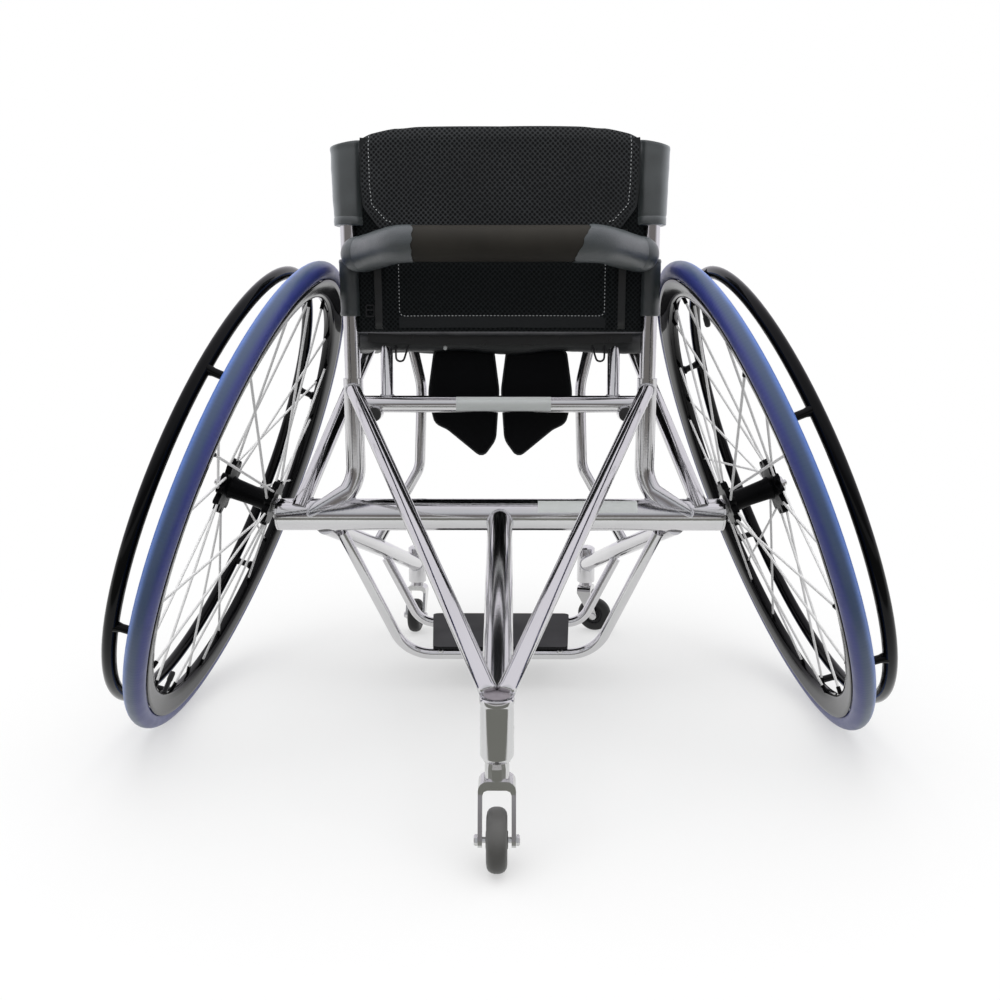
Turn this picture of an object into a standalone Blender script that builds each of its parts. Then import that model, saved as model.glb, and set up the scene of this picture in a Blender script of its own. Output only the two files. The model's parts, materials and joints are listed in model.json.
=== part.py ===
"""Court sports wheelchair: a welded tube chassis on two cambered drive wheels,
two swivelling front casters and a swivelling rear anti-tip caster.

Axes: +X to the chair's right, +Y forwards, +Z up. The origin is on the floor,
at the middle of the chair's footprint.
"""
import math

import bmesh
import bpy
from mathutils import Matrix, Vector

# Drive wheels, in metres and degrees
CAMBER_DEG = 21.0
AXLE_Y = 0.008
TYRE_OUTER_R = 0.320
TYRE_SECTION_R = 0.0120
HUB_X = 0.333
TYRE_STEPS = 40
TYRE_SIDES = 8
RIM_INNER_R = 0.274
RIM_CHANNEL_R = 0.2946
RIM_FLANGE_R = 0.300
RIM_HALF_WIDTH = 0.0112
RIM_STEPS = 32
HANDRIM_R = 0.291
HANDRIM_SECTION_R = 0.0080
HANDRIM_OFFSET = 0.038
HANDRIM_STEPS = 36
HANDRIM_SIDES = 8
HANDRIM_TABS = 6
TAB_R = 0.0042
SPOKES_A_FLANGE = 12
SPOKE_R = 0.0015
SPOKE_LEAN_DEG = 26.0
SPOKE_STAGGER = 0.0021
HUB_OUTER_FLANGE_R = 0.0375
HUB_INNER_FLANGE_R = 0.0305
HUB_OUTER_Z = 0.035
HUB_INNER_Z = -0.036
HUB_FLANGE_THICK = 0.0085
HUB_BORE_R = 0.0068
AXLE_R = 0.00635

# Frame tubes: radii of the drawn tubes
CAMBER_TUBE_R = 0.02125
CAMBER_TUBE_BORE_R = 0.0182
CAMBER_TUBE_Z = 0.2722
CAMBER_TUBE_END_X = 0.2925
BOOM_R = 0.01625
MAIN_TUBE_R = 0.0127
SIDE_TUBE_R = 0.0110
STAY_R = 0.0095
LIGHT_TUBE_R = 0.0080
FOOT_TUBE_R = 0.0076
SEAT_TUBE_R = 0.0110
POST_R = 0.0102
POST_CLEARANCE = 0.0004

# Backrest posts and their receivers
POST_X = 0.191
POST_RECLINE_DEG = 3.0
RECEIVER_TOP_Z = 0.452
RECEIVER_CORNER_Z = 0.3002
POST_FOOT_Z = 0.368
POST_TOP_Z = 0.722
LOWER_SLEEVE_R = 0.0128

# Seat
SEAT_Z = 0.5005
SEAT_HALF_WIDTH = 0.198
SEAT_REAR_Y = 0.036
SEAT_FRONT_Y = 0.410
CROSS_BAR_Z = 0.4185
STRUT_X = 0.147

# Casters
CASTER_WHEEL_R = 0.029
CASTER_WHEEL_WIDTH = 0.0200
CASTER_TRAIL = 0.0165
CASTER_STEM_X = 0.1483
CASTER_STEM_Y = 0.391
CASTER_SWIVEL_DEG = {"left": 172.0, "right": -108.0}
CASTER_BARREL_R = 0.0153
CASTER_BARREL_FOOT_Z = 0.0865
CASTER_BARREL_TOP_Z = 0.1500
ANTITIP_STEM_Y = -0.376
ANTITIP_TRAIL = 0.018
ANTITIP_WHEEL_R = 0.030
STEM_R = 0.0062
CASTER_STEPS = 20

# Footrest
FOOTPLATE_TOP_Z = 0.0715
FOOTPLATE_THICK = 0.004
FOOTPLATE_REAR_HALF = 0.0964
FOOTPLATE_FRONT_HALF = 0.1080
FOOTPLATE_REAR_Y = 0.064
FOOTPLATE_FRONT_Y = 0.238
HOOP_Z = 0.0592
REAR_HOOP_Y = 0.0705
FRONT_HOOP_Y = 0.228

# Cross bar bosses and front down tubes
BOSS_X = 0.1625
BOSS_R = 0.0093
BOSS_DROP = 0.0125
BOSS_REAR_Y = -0.008
BOSS_FRONT_Y = 0.017
DOWN_TUBE_Y = 0.190

# Soft parts
BACK_SAG = 0.024
BACK_PAD_Z = (0.511, 0.7360)
BACK_PAD_HALF_WIDTH = 0.1695
BACK_COVER_Z = (0.631, 0.7490)
BACK_COVER_HALF_WIDTH = 0.1710
LOWER_SLEEVE_Z = (0.5310, 0.6010)
UPPER_SLEEVE_Z = (0.6420, 0.7400)
UPPER_SLEEVE_HALF = (0.0187, 0.0165)
GRAB_BAR_R = 0.0207
GRAB_TIP_X = 0.1955
GRAB_CAP_X = 0.1720
FLAP_HALF_THICK = 0.0055

# Fits
GAP = 0.0003
WELD_GAP = 0.0005
SIDES = {"left": -1.0, "right": 1.0}

CAMBER = math.radians(CAMBER_DEG)
HUB_Z = (TYRE_OUTER_R - TYRE_SECTION_R) * math.cos(CAMBER) + TYRE_SECTION_R
RECLINE = math.radians(POST_RECLINE_DEG)


def clear_scene():
    for obj in list(bpy.data.objects):
        bpy.data.objects.remove(obj, do_unlink=True)


def new_collection(name):
    collection = bpy.data.collections.new(name)
    bpy.context.scene.collection.children.link(collection)
    return collection


def make_material(name, colour, roughness, metallic):
    material = bpy.data.materials.new(name)
    material.use_nodes = True
    shader = material.node_tree.nodes["Principled BSDF"]
    shader.inputs["Base Color"].default_value = (*colour, 1.0)
    shader.inputs["Roughness"].default_value = roughness
    shader.inputs["Metallic"].default_value = metallic
    return material


clear_scene()
PARTS = new_collection("tennis_wheelchair")
CUTTERS = new_collection("cutters")
MATERIALS = {
    "polished_tube": make_material("polished_tube", (0.80, 0.80, 0.82), 0.12, 1.0),
    "satin_metal": make_material("satin_metal", (0.72, 0.72, 0.74), 0.35, 1.0),
    "gloss_black": make_material("gloss_black", (0.012, 0.012, 0.013), 0.18, 0.0),
    "blue_tyre": make_material("blue_tyre", (0.03, 0.07, 0.30), 0.55, 0.0),
    "black_rubber": make_material("black_rubber", (0.03, 0.03, 0.03), 0.70, 0.0),
    "black_vinyl": make_material("black_vinyl", (0.02, 0.02, 0.022), 0.42, 0.0),
    "black_mesh": make_material("black_mesh", (0.012, 0.013, 0.015), 0.80, 0.0),
    "carbon_plate": make_material("carbon_plate", (0.03, 0.03, 0.032), 0.35, 0.2),
}
# Each welded tube's own space, kept by name, that later neighbours are trimmed back from
BLOCKS = {}


def finish(obj, material):
    """Puts a part in the chair's collection with its material, shaded smooth."""
    PARTS.objects.link(obj)
    obj.data.materials.clear()
    obj.data.materials.append(MATERIALS[material])
    obj.data.shade_smooth()
    obj.data.set_sharp_from_angle(angle=math.radians(35))
    return obj


def keep_as_cutter(obj):
    CUTTERS.objects.link(obj)
    obj.display_type = "WIRE"
    obj.hide_render = True
    return obj


def frame_empty(name, origin, z_axis, y_axis):
    """An empty whose axes carry the pieces that turn together."""
    z_axis = Vector(z_axis).normalized()
    y_axis = Vector(y_axis).normalized()
    x_axis = y_axis.cross(z_axis).normalized()
    empty = bpy.data.objects.new(name, None)
    empty.empty_display_size = 0.05
    turn = Matrix((x_axis, y_axis, z_axis)).transposed()
    empty.location = origin
    empty.rotation_euler = turn.to_euler()
    PARTS.objects.link(empty)
    return empty


def rounded_route(corners, radii, steps, closed=False):
    """Straight runs through the corners, joined by arcs. One bend radius serves all, or each has its own."""
    corners = [Vector(corner) for corner in corners]
    count = len(corners)
    route = []
    for index, corner in enumerate(corners):
        if not closed and index in (0, count - 1):
            route.append(corner)
            continue
        radius = radii if isinstance(radii, float) else radii[index if closed else index - 1]
        before = (corners[index - 1] - corner).normalized()
        after = (corners[(index + 1) % count] - corner).normalized()
        turn = math.pi - before.angle(after)
        start = corner + before * radius * math.tan(turn / 2)
        centre = corner + (before + after).normalized() * radius / math.cos(turn / 2)
        spoke = start - centre
        hinge = (-before).cross(after).normalized()
        for step in range(steps + 1):
            arc = Matrix.Rotation(turn * step / steps, 3, hinge)
            route.append(centre + arc @ spoke)
    return route


def swept_mesh(name, route, radius, sides, swell=None, closed=False):
    """A round tube along a route, with welded caps."""
    curve = bpy.data.curves.new(name, "CURVE")
    curve.dimensions = "3D"
    curve.bevel_depth = radius
    curve.bevel_resolution = (sides - 4) // 2
    curve.use_fill_caps = True
    curve.resolution_u = 1
    spline = curve.splines.new("POLY")
    spline.points.add(len(route) - 1)
    for index, (point, place) in enumerate(zip(spline.points, route)):
        point.co = (*place, 1.0)
        point.radius = swell[index] if swell else 1.0
    spline.use_cyclic_u = closed
    rail = bpy.data.objects.new(name, curve)
    bpy.context.scene.collection.objects.link(rail)
    graph = bpy.context.evaluated_depsgraph_get()
    mesh = bpy.data.meshes.new_from_object(rail.evaluated_get(graph))
    bpy.data.objects.remove(rail)
    bpy.data.curves.remove(curve)
    shape = bmesh.new()
    shape.from_mesh(mesh)
    bmesh.ops.remove_doubles(shape, verts=shape.verts, dist=1e-5)
    bmesh.ops.recalc_face_normals(shape, faces=shape.faces)
    shape.to_mesh(mesh)
    shape.free()
    mesh.name = name
    return mesh


def tube(name, route, radius, sides=14, material="polished_tube", swell=None, closed=False):
    mesh = swept_mesh(name, route, radius, sides, swell, closed)
    return finish(bpy.data.objects.new(name, mesh), material)


def clearance_tube(name, route, radius, closed=False):
    """The space that a welded neighbour is trimmed back from."""
    mesh = swept_mesh("clear_" + name, route, radius + WELD_GAP, 16, None, closed)
    return keep_as_cutter(bpy.data.objects.new("clear_" + name, mesh))


def cut(obj, *cutters, operation="DIFFERENCE"):
    for cutter in cutters:
        modifier = obj.modifiers.new(operation.lower(), "BOOLEAN")
        modifier.operation = operation
        modifier.solver = "EXACT"
        modifier.object = cutter
    return obj


def profile_mesh(name, profile, closed):
    shape = bmesh.new()
    corners = [shape.verts.new((radius, 0.0, height)) for radius, height in profile]
    for first, second in zip(corners, corners[1:]):
        shape.edges.new((first, second))
    if closed:
        shape.edges.new((corners[-1], corners[0]))
    mesh = bpy.data.meshes.new(name)
    shape.to_mesh(mesh)
    shape.free()
    return mesh


def turned(name, profile, steps, material=None, closed=False, turn=0.0):
    """A lathe shape about local Z. The profile runs down the outer side."""
    obj = bpy.data.objects.new(name, profile_mesh(name, profile, closed))
    screw = obj.modifiers.new("turn", "SCREW")
    screw.axis = "Z"
    screw.angle = math.tau
    screw.steps = steps
    screw.render_steps = steps
    screw.use_merge_vertices = True
    screw.merge_threshold = 1e-5
    screw.use_smooth_shade = True
    weld = obj.modifiers.new("poles", "WELD")
    weld.merge_threshold = 1e-5
    obj.rotation_euler.z = turn
    if material is None:
        return keep_as_cutter(obj)
    PARTS.objects.link(obj)
    obj.data.materials.append(MATERIALS[material])
    return obj


def solid_rod(name, start, end, radius, steps, material=None):
    """A plain cylinder from one point to another."""
    start = Vector(start)
    span = Vector(end) - start
    profile = [(0, span.length), (radius, span.length), (radius, 0), (0, 0)]
    rod = turned(name, profile, steps, material)
    rod.location = start
    rod.rotation_euler = span.to_track_quat("Z", "Y").to_euler()
    return rod


def add_rod(shape, start, end, radius, sides):
    """Adds one capped cylinder to a mesh of many separate rods."""
    start = Vector(start)
    end = Vector(end)
    span = end - start
    place = Matrix.Translation((start + end) / 2) @ span.to_track_quat("Z", "Y").to_matrix().to_4x4()
    bmesh.ops.create_cone(
        shape, cap_ends=True, segments=sides, radius1=radius, radius2=radius,
        depth=span.length, matrix=place,
    )


def mesh_part(name, shape, material):
    mesh = bpy.data.meshes.new(name)
    shape.to_mesh(mesh)
    shape.free()
    return finish(bpy.data.objects.new(name, mesh), material)


def mesh_cutter(name, shape):
    mesh = bpy.data.meshes.new(name)
    shape.to_mesh(mesh)
    shape.free()
    return keep_as_cutter(bpy.data.objects.new(name, mesh))


def flat_prism(name, outline, half_thickness, material=None):
    """A flat outline in local XY, thickened along local Z."""
    curve = bpy.data.curves.new(name, "CURVE")
    curve.dimensions = "2D"
    curve.fill_mode = "BOTH"
    curve.extrude = half_thickness
    curve.resolution_u = 1
    spline = curve.splines.new("POLY")
    spline.points.add(len(outline) - 1)
    for point, (across, along) in zip(spline.points, outline):
        point.co = (across, along, 0.0, 1.0)
    spline.use_cyclic_u = True
    drawn = bpy.data.objects.new(name, curve)
    bpy.context.scene.collection.objects.link(drawn)
    graph = bpy.context.evaluated_depsgraph_get()
    mesh = bpy.data.meshes.new_from_object(drawn.evaluated_get(graph))
    bpy.data.objects.remove(drawn)
    bpy.data.curves.remove(curve)
    shape = bmesh.new()
    shape.from_mesh(mesh)
    bmesh.ops.remove_doubles(shape, verts=shape.verts, dist=1e-5)
    bmesh.ops.recalc_face_normals(shape, faces=shape.faces)
    shape.to_mesh(mesh)
    shape.free()
    prism = bpy.data.objects.new(name, mesh)
    return keep_as_cutter(prism) if material is None else finish(prism, material)


def arc_points(centre, radius, start_deg, end_deg, steps):
    points = []
    for step in range(steps + 1):
        angle = math.radians(start_deg + (end_deg - start_deg) * step / steps)
        points.append((centre[0] + radius * math.cos(angle), centre[1] + radius * math.sin(angle)))
    return points


def mirrored(points, side):
    return [Vector((side * x, y, z)) for x, y, z in points]


def wheel_frame(side_name):
    side = SIDES[side_name]
    outboard = (side * math.cos(CAMBER), 0.0, math.sin(CAMBER))
    centre = (side * HUB_X, AXLE_Y, HUB_Z)
    return frame_empty("wheel_centre_" + side_name, centre, outboard, (0, 1, 0))


def ring_profile(ring_r, section_r, sides, height=0.0, first_angle=0.0):
    """A round section that starts at its first angle and runs down its outer side."""
    points = []
    for index in range(sides):
        angle = first_angle - math.tau * index / sides
        points.append((ring_r + section_r * math.cos(angle), height + section_r * math.sin(angle)))
    return points


def tyre(side_name, frame):
    """The section has a corner where the cambered tyre meets the floor."""
    ring_r = TYRE_OUTER_R - TYRE_SECTION_R
    swell = 1.0 / math.cos(math.pi / TYRE_STEPS)
    profile = ring_profile(ring_r, TYRE_SECTION_R, TYRE_SIDES, 0.0, -CAMBER)
    profile = [(radius * swell, height) for radius, height in profile]
    part = turned("tyre_" + side_name, profile, TYRE_STEPS, "blue_tyre", True, math.pi / TYRE_STEPS)
    part.parent = frame


def rim(side_name, frame):
    """A deep rim whose channel seats the tyre and whose inner edge is narrow."""
    half = RIM_HALF_WIDTH
    outer = [(RIM_FLANGE_R, half), (RIM_INNER_R + 0.004, 0.0075), (RIM_INNER_R, 0.0045)]
    inner = [(radius, -height) for radius, height in reversed(outer)]
    channel = [(RIM_CHANNEL_R, -0.0052), (RIM_CHANNEL_R, 0.0052)]
    profile = outer + inner + channel
    profile.reverse()
    part = turned("rim_" + side_name, profile, RIM_STEPS, "gloss_black", True)
    part.parent = frame


def handrim(side_name, frame):
    """A tube ring with short tabs welded on, which stop just short of the rim."""
    profile = ring_profile(HANDRIM_R, HANDRIM_SECTION_R, HANDRIM_SIDES, HANDRIM_OFFSET)
    part = turned("handrim_" + side_name, profile, HANDRIM_STEPS, "gloss_black", True)
    part.parent = frame
    shape = bmesh.new()
    for index in range(HANDRIM_TABS):
        angle = math.tau * (index + 0.5) / HANDRIM_TABS
        around = Vector((math.cos(angle), math.sin(angle), 0.0))
        foot = around * (RIM_FLANGE_R - 0.011) + Vector((0, 0, RIM_HALF_WIDTH + GAP))
        head = around * HANDRIM_R + Vector((0, 0, HANDRIM_OFFSET - 0.003))
        add_rod(shape, foot, head, TAB_R, 6)
    tabs = mesh_cutter("handrim_tabs_" + side_name, shape)
    tabs.parent = frame
    cut(part, tabs, operation="UNION")


def hub(side_name, frame):
    """A hub shell with two spoke flanges, narrow between them, bored for the axle, and its spokes."""
    top, foot, thick = HUB_OUTER_Z, HUB_INNER_Z, HUB_FLANGE_THICK
    profile = [
        (HUB_BORE_R, top + 0.004), (0.0125, top + 0.004), (0.0145, top), (HUB_OUTER_FLANGE_R, top),
        (HUB_OUTER_FLANGE_R, top - thick), (0.0200, top - thick), (0.0135, top - 0.014), (0.0118, -0.006),
        (0.0165, foot + thick), (HUB_INNER_FLANGE_R, foot + thick), (HUB_INNER_FLANGE_R, foot),
        (HUB_BORE_R, foot),
    ]
    part = turned("spoked_hub_" + side_name, profile, 18, "gloss_black", True)
    part.parent = frame
    cut(part, spokes(side_name, frame), operation="UNION")


def spokes(side_name, frame):
    """Half the spokes of a flange lean one way and half the other, staggered to cross freely."""
    shape = bmesh.new()
    flanges = [
        (HUB_OUTER_FLANGE_R, HUB_OUTER_Z - HUB_FLANGE_THICK / 2, 0.0),
        (HUB_INNER_FLANGE_R, HUB_INNER_Z + HUB_FLANGE_THICK / 2, math.tau / SPOKES_A_FLANGE / 2),
    ]
    lean = math.radians(SPOKE_LEAN_DEG)
    for flange_r, flange_z, offset in flanges:
        for index in range(SPOKES_A_FLANGE):
            way = 1 if index % 2 else -1
            angle = math.tau * index / SPOKES_A_FLANGE + offset
            start_r = flange_r - 0.004
            end_r = RIM_INNER_R * math.cos(math.pi / RIM_STEPS) - 0.0016
            start_z = flange_z + way * SPOKE_STAGGER
            end_z = math.copysign(0.0012, flange_z) + way * SPOKE_STAGGER
            start = (start_r * math.cos(angle), start_r * math.sin(angle), start_z)
            end = (end_r * math.cos(angle + way * lean), end_r * math.sin(angle + way * lean), end_z)
            add_rod(shape, start, end, SPOKE_R, 4)
    bundle = mesh_cutter("spokes_" + side_name, shape)
    bundle.parent = frame
    return bundle


def axle(side_name, frame):
    """The quick-release axle stays with the frame, and its button slides in its end."""
    inner, outer = -0.072, HUB_OUTER_Z + 0.008
    profile = [
        (0, outer - 0.016), (0.0046, outer - 0.016), (0.0046, outer), (0.0098, outer),
        (0.0098, outer - 0.0035), (AXLE_R, outer - 0.0035), (AXLE_R, inner + 0.001),
        (AXLE_R - 0.001, inner), (0, inner),
    ]
    part = turned("axle_" + side_name, profile, 14, "satin_metal")
    part.parent = frame
    button = [(0, outer + 0.005), (0.003, outer + 0.0048), (0.0040, outer + 0.004),
              (0.0040, outer - 0.0095), (0, outer - 0.0095)]
    press = turned("axle_button_" + side_name, button, 10, "satin_metal")
    press.parent = frame


def camber_plug(side_name):
    """A plug in the camber tube's end, with an angled boss that carries the axle."""
    side = SIDES[side_name]
    end_x = CAMBER_TUBE_END_X
    barrel = [(0, end_x + 0.0028), (0.0212, end_x + 0.0028), (0.0212, end_x + GAP), (0.0178, end_x + GAP),
              (0.0178, end_x - 0.036), (0, end_x - 0.036)]
    plug = turned("camber_plug_" + side_name, barrel, 18, "satin_metal")
    plug.location = (0, AXLE_Y, CAMBER_TUBE_Z)
    plug.rotation_euler = (0, side * math.pi / 2, 0)
    outboard = Vector((side * math.cos(CAMBER), 0.0, math.sin(CAMBER)))
    centre = Vector((side * HUB_X, AXLE_Y, HUB_Z))
    boss = solid_rod("boss_" + side_name, centre - outboard * 0.055, centre - outboard * 0.0375, 0.0135, 16)
    wall = turned("tube_wall_" + side_name, [(0.03, end_x + GAP), (0.03, end_x - 0.05), (0.0179, end_x - 0.05),
                                             (0.0179, end_x + GAP)], 20, closed=True)
    wall.location = plug.location
    wall.rotation_euler = plug.rotation_euler
    bore = solid_rod("axle_bore_" + side_name, centre - outboard * 0.0735, centre, AXLE_R + 0.0004, 14)
    cut(plug, boss, operation="UNION")
    cut(plug, wall, bore)
    cut(PARTS.objects["camber_tube"], bore)


def receiver(side_name):
    """A bent tube up from the camber tube. Its open top holds the backrest post."""
    side = SIDES[side_name]
    name = "receiver_" + side_name
    lean = (RECEIVER_TOP_Z - RECEIVER_CORNER_Z) * math.tan(RECLINE)
    route = mirrored(
        [
            (0.2530, AXLE_Y - 0.0200, CAMBER_TUBE_Z - 0.0014),
            (POST_X, AXLE_Y + lean, RECEIVER_CORNER_Z),
            (POST_X, AXLE_Y, RECEIVER_TOP_Z),
        ],
        side,
    )
    route = rounded_route(route, 0.059, 6)
    part = tube(name, route, MAIN_TUBE_R)
    axis = Vector((0, -math.sin(RECLINE), math.cos(RECLINE)))
    mouth = Vector((side * POST_X, AXLE_Y, RECEIVER_TOP_Z))
    bore = solid_rod("post_bore_" + side_name, mouth - axis * 0.092, mouth + axis * 0.01,
                     POST_R + POST_CLEARANCE, 14)
    cut(part, bore, BLOCKS["camber_tube"])
    BLOCKS[name] = clearance_tube(name, route, MAIN_TUBE_R)


def camber_tube():
    profile = [(CAMBER_TUBE_BORE_R, CAMBER_TUBE_END_X), (CAMBER_TUBE_R, CAMBER_TUBE_END_X),
               (CAMBER_TUBE_R, -CAMBER_TUBE_END_X), (CAMBER_TUBE_BORE_R, -CAMBER_TUBE_END_X)]
    part = turned("camber_tube", profile, 24, "polished_tube", True)
    part.location = (0, AXLE_Y, CAMBER_TUBE_Z)
    part.rotation_euler = (0, math.pi / 2, 0)
    reach = CAMBER_TUBE_END_X + 0.005
    ends = [Vector((-reach, AXLE_Y, CAMBER_TUBE_Z)), Vector((reach, AXLE_Y, CAMBER_TUBE_Z))]
    BLOCKS["camber_tube"] = clearance_tube("camber_tube", ends, CAMBER_TUBE_R)


def cross_bar():
    """A bar between the receivers, with a boss welded under each end."""
    ends = [Vector((-POST_X, AXLE_Y, CROSS_BAR_Z)), Vector((POST_X, AXLE_Y, CROSS_BAR_Z))]
    part = tube("cross_bar", ends, SIDE_TUBE_R)
    bosses = bmesh.new()
    for side in SIDES.values():
        x, z = side * BOSS_X, CROSS_BAR_Z - BOSS_DROP
        add_rod(bosses, (x, BOSS_REAR_Y, z), (x, BOSS_FRONT_Y, z), BOSS_R, 14)
    cut(part, mesh_cutter("bosses", bosses), operation="UNION")
    cut(part, *[BLOCKS["receiver_" + name] for name in SIDES], *[BLOCKS["v_stay_" + name] for name in SIDES])
    BLOCKS["cross_bar"] = clearance_tube("cross_bar", ends, SIDE_TUBE_R)


def antitip_housing():
    """An upright barrel with a flanged cap, bored from below for the caster stem."""
    top, foot = 0.166, 0.1025
    profile = [
        (0, top), (0.0157, top), (0.0166, top - 0.0012), (0.0166, top - 0.0065), (0.0160, top - 0.0075),
        (0.0160, foot + 0.005), (0.0130, foot), (0.0106, foot), (0.0106, top - 0.010), (0, top - 0.010),
    ]
    part = turned("antitip_housing", profile, 20, "satin_metal")
    part.location = (0, ANTITIP_STEM_Y, 0)
    route = [Vector((0, ANTITIP_STEM_Y, foot)), Vector((0, ANTITIP_STEM_Y, top + 0.001))]
    BLOCKS["antitip_housing"] = clearance_tube("antitip_housing", route, 0.0166)


def v_stays_and_boom():
    for side_name, side in SIDES.items():
        name = "v_stay_" + side_name
        foot = Vector((side * 0.0030, ANTITIP_STEM_Y, 0.1580))
        head = Vector((side * 0.1885, AXLE_Y - 0.0090, 0.4355))
        part = tube(name, [head, foot], STAY_R)
        BLOCKS[name] = clearance_tube(name, [head, foot], STAY_R)
        shape = bmesh.new()
        bmesh.ops.create_cube(shape, size=0.1)
        bmesh.ops.translate(shape, verts=shape.verts, vec=(-side * (0.05 - 0.0002), ANTITIP_STEM_Y, 0.15))
        half_space = mesh_cutter("middle_" + side_name, shape)
        cut(part, BLOCKS["receiver_" + side_name], BLOCKS["antitip_housing"], half_space)
    start = Vector((0, AXLE_Y, CAMBER_TUBE_Z - 0.001))
    end = Vector((0, ANTITIP_STEM_Y, 0.130))
    boom = tube("centre_boom", [start, end], BOOM_R)
    cut(boom, BLOCKS["camber_tube"], BLOCKS["antitip_housing"], BLOCKS["v_stay_left"], BLOCKS["v_stay_right"])


def seat_frame():
    """A closed hoop of bent tube that the seat sling is stretched over."""
    corners = [(-SEAT_HALF_WIDTH, SEAT_REAR_Y, SEAT_Z), (SEAT_HALF_WIDTH, SEAT_REAR_Y, SEAT_Z),
               (SEAT_HALF_WIDTH, SEAT_FRONT_Y, SEAT_Z), (-SEAT_HALF_WIDTH, SEAT_FRONT_Y, SEAT_Z)]
    route = rounded_route(corners, 0.048, 4, closed=True)
    tube("seat_frame", route, SEAT_TUBE_R, 12, "gloss_black", closed=True)
    BLOCKS["seat_frame"] = clearance_tube("seat_frame", route, SEAT_TUBE_R, closed=True)


def side_tubes():
    for side_name, side in SIDES.items():
        route = mirrored([(0.2627, 0.0000, 0.2860), (SEAT_HALF_WIDTH, 0.2220, SEAT_Z - 0.0020)], side)
        part = tube("side_tube_" + side_name, route, SIDE_TUBE_R, 14)
        cut(part, BLOCKS["camber_tube"], BLOCKS["receiver_" + side_name], BLOCKS["seat_frame"])


def rear_struts():
    for side_name, side in SIDES.items():
        route = mirrored([(STRUT_X, AXLE_Y, CROSS_BAR_Z), (STRUT_X + 0.003, SEAT_REAR_Y, SEAT_Z)], side)
        part = tube("rear_strut_" + side_name, route, LIGHT_TUBE_R, 12)
        cut(part, BLOCKS["cross_bar"], BLOCKS["seat_frame"])


def caster_arms():
    """The arms run forwards and down from the camber tube to the caster barrels."""
    for side_name, side in SIDES.items():
        name = "caster_arm_" + side_name
        corners = [(0.2325, AXLE_Y, 0.2575), (0.1815, 0.2200, 0.1790), (CASTER_STEM_X, CASTER_STEM_Y, 0.1170)]
        route = rounded_route(mirrored(corners, side), 0.400, 3)
        part = tube(name, route, MAIN_TUBE_R)
        cut(part, BLOCKS["camber_tube"], BLOCKS["caster_housing_" + side_name])
        BLOCKS[name] = clearance_tube(name, route, MAIN_TUBE_R)


def caster_housings():
    top, foot, outer = CASTER_BARREL_TOP_Z, CASTER_BARREL_FOOT_Z, CASTER_BARREL_R
    profile = [
        (0, top), (0.0100, top), (outer, top - 0.0035), (outer, foot + 0.0012), (outer - 0.0012, foot),
        (0.0106, foot), (0.0106, top - 0.010), (0, top - 0.010),
    ]
    for side_name, side in SIDES.items():
        place = (side * CASTER_STEM_X, CASTER_STEM_Y, 0)
        part = turned("caster_housing_" + side_name, profile, 20, "satin_metal")
        part.location = place
        route = [Vector((place[0], place[1], foot)), Vector((place[0], place[1], top))]
        BLOCKS["caster_housing_" + side_name] = clearance_tube("caster_housing_" + side_name, route, outer)


def stem_bush(name, place, foot, top):
    """A plain bush that lines a caster barrel, a slip fit on the stem."""
    profile = [(0.0103, top), (0.0103, foot), (STEM_R + 0.0003, foot), (STEM_R + 0.0003, top)]
    bush = turned(name, profile, 14, "satin_metal", True)
    bush.location = (*place, 0)


def stem_bushes():
    stem_bush("stem_bush_antitip", (0, ANTITIP_STEM_Y), 0.1030, 0.1555)
    for side_name, side in SIDES.items():
        place = (side * CASTER_STEM_X, CASTER_STEM_Y)
        stem_bush("stem_bush_" + side_name, place, CASTER_BARREL_FOOT_Z + 0.0005, CASTER_BARREL_TOP_Z - 0.0105)


def fork_outline_front(half_out, leg, crown_top, crown_thick, foot):
    """The bent bar seen from the front: two legs under an arched crown."""
    half_in = half_out - leg
    corner = 0.009
    roof = crown_top - crown_thick
    outer = [(-half_out, foot)] + arc_points((-half_out + corner, crown_top - corner), corner, 180, 90, 4)
    outer += arc_points((half_out - corner, crown_top - corner), corner, 90, 0, 4) + [(half_out, foot)]
    inner_r = corner - leg
    inner = [(half_in, foot)] + arc_points((half_in - inner_r, roof - inner_r), inner_r, 0, 90, 2)
    inner += arc_points((-half_in + inner_r, roof - inner_r), inner_r, 90, 180, 2) + [(-half_in, foot)]
    return outer + inner


def fork_outline_side(trail, wheel_r, crown_top, crown_thick, half_depth, end_r):
    """The fork seen from the side: the legs sweep back from the crown to a round end."""
    roof = crown_top - crown_thick - 0.004
    round_end = arc_points((trail, wheel_r), end_r, 15, -195, 6)
    return [(-half_depth, crown_top + 0.001), (half_depth, crown_top + 0.001), (half_depth + 0.001, roof),
            *round_end, (-half_depth, roof)]


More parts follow.
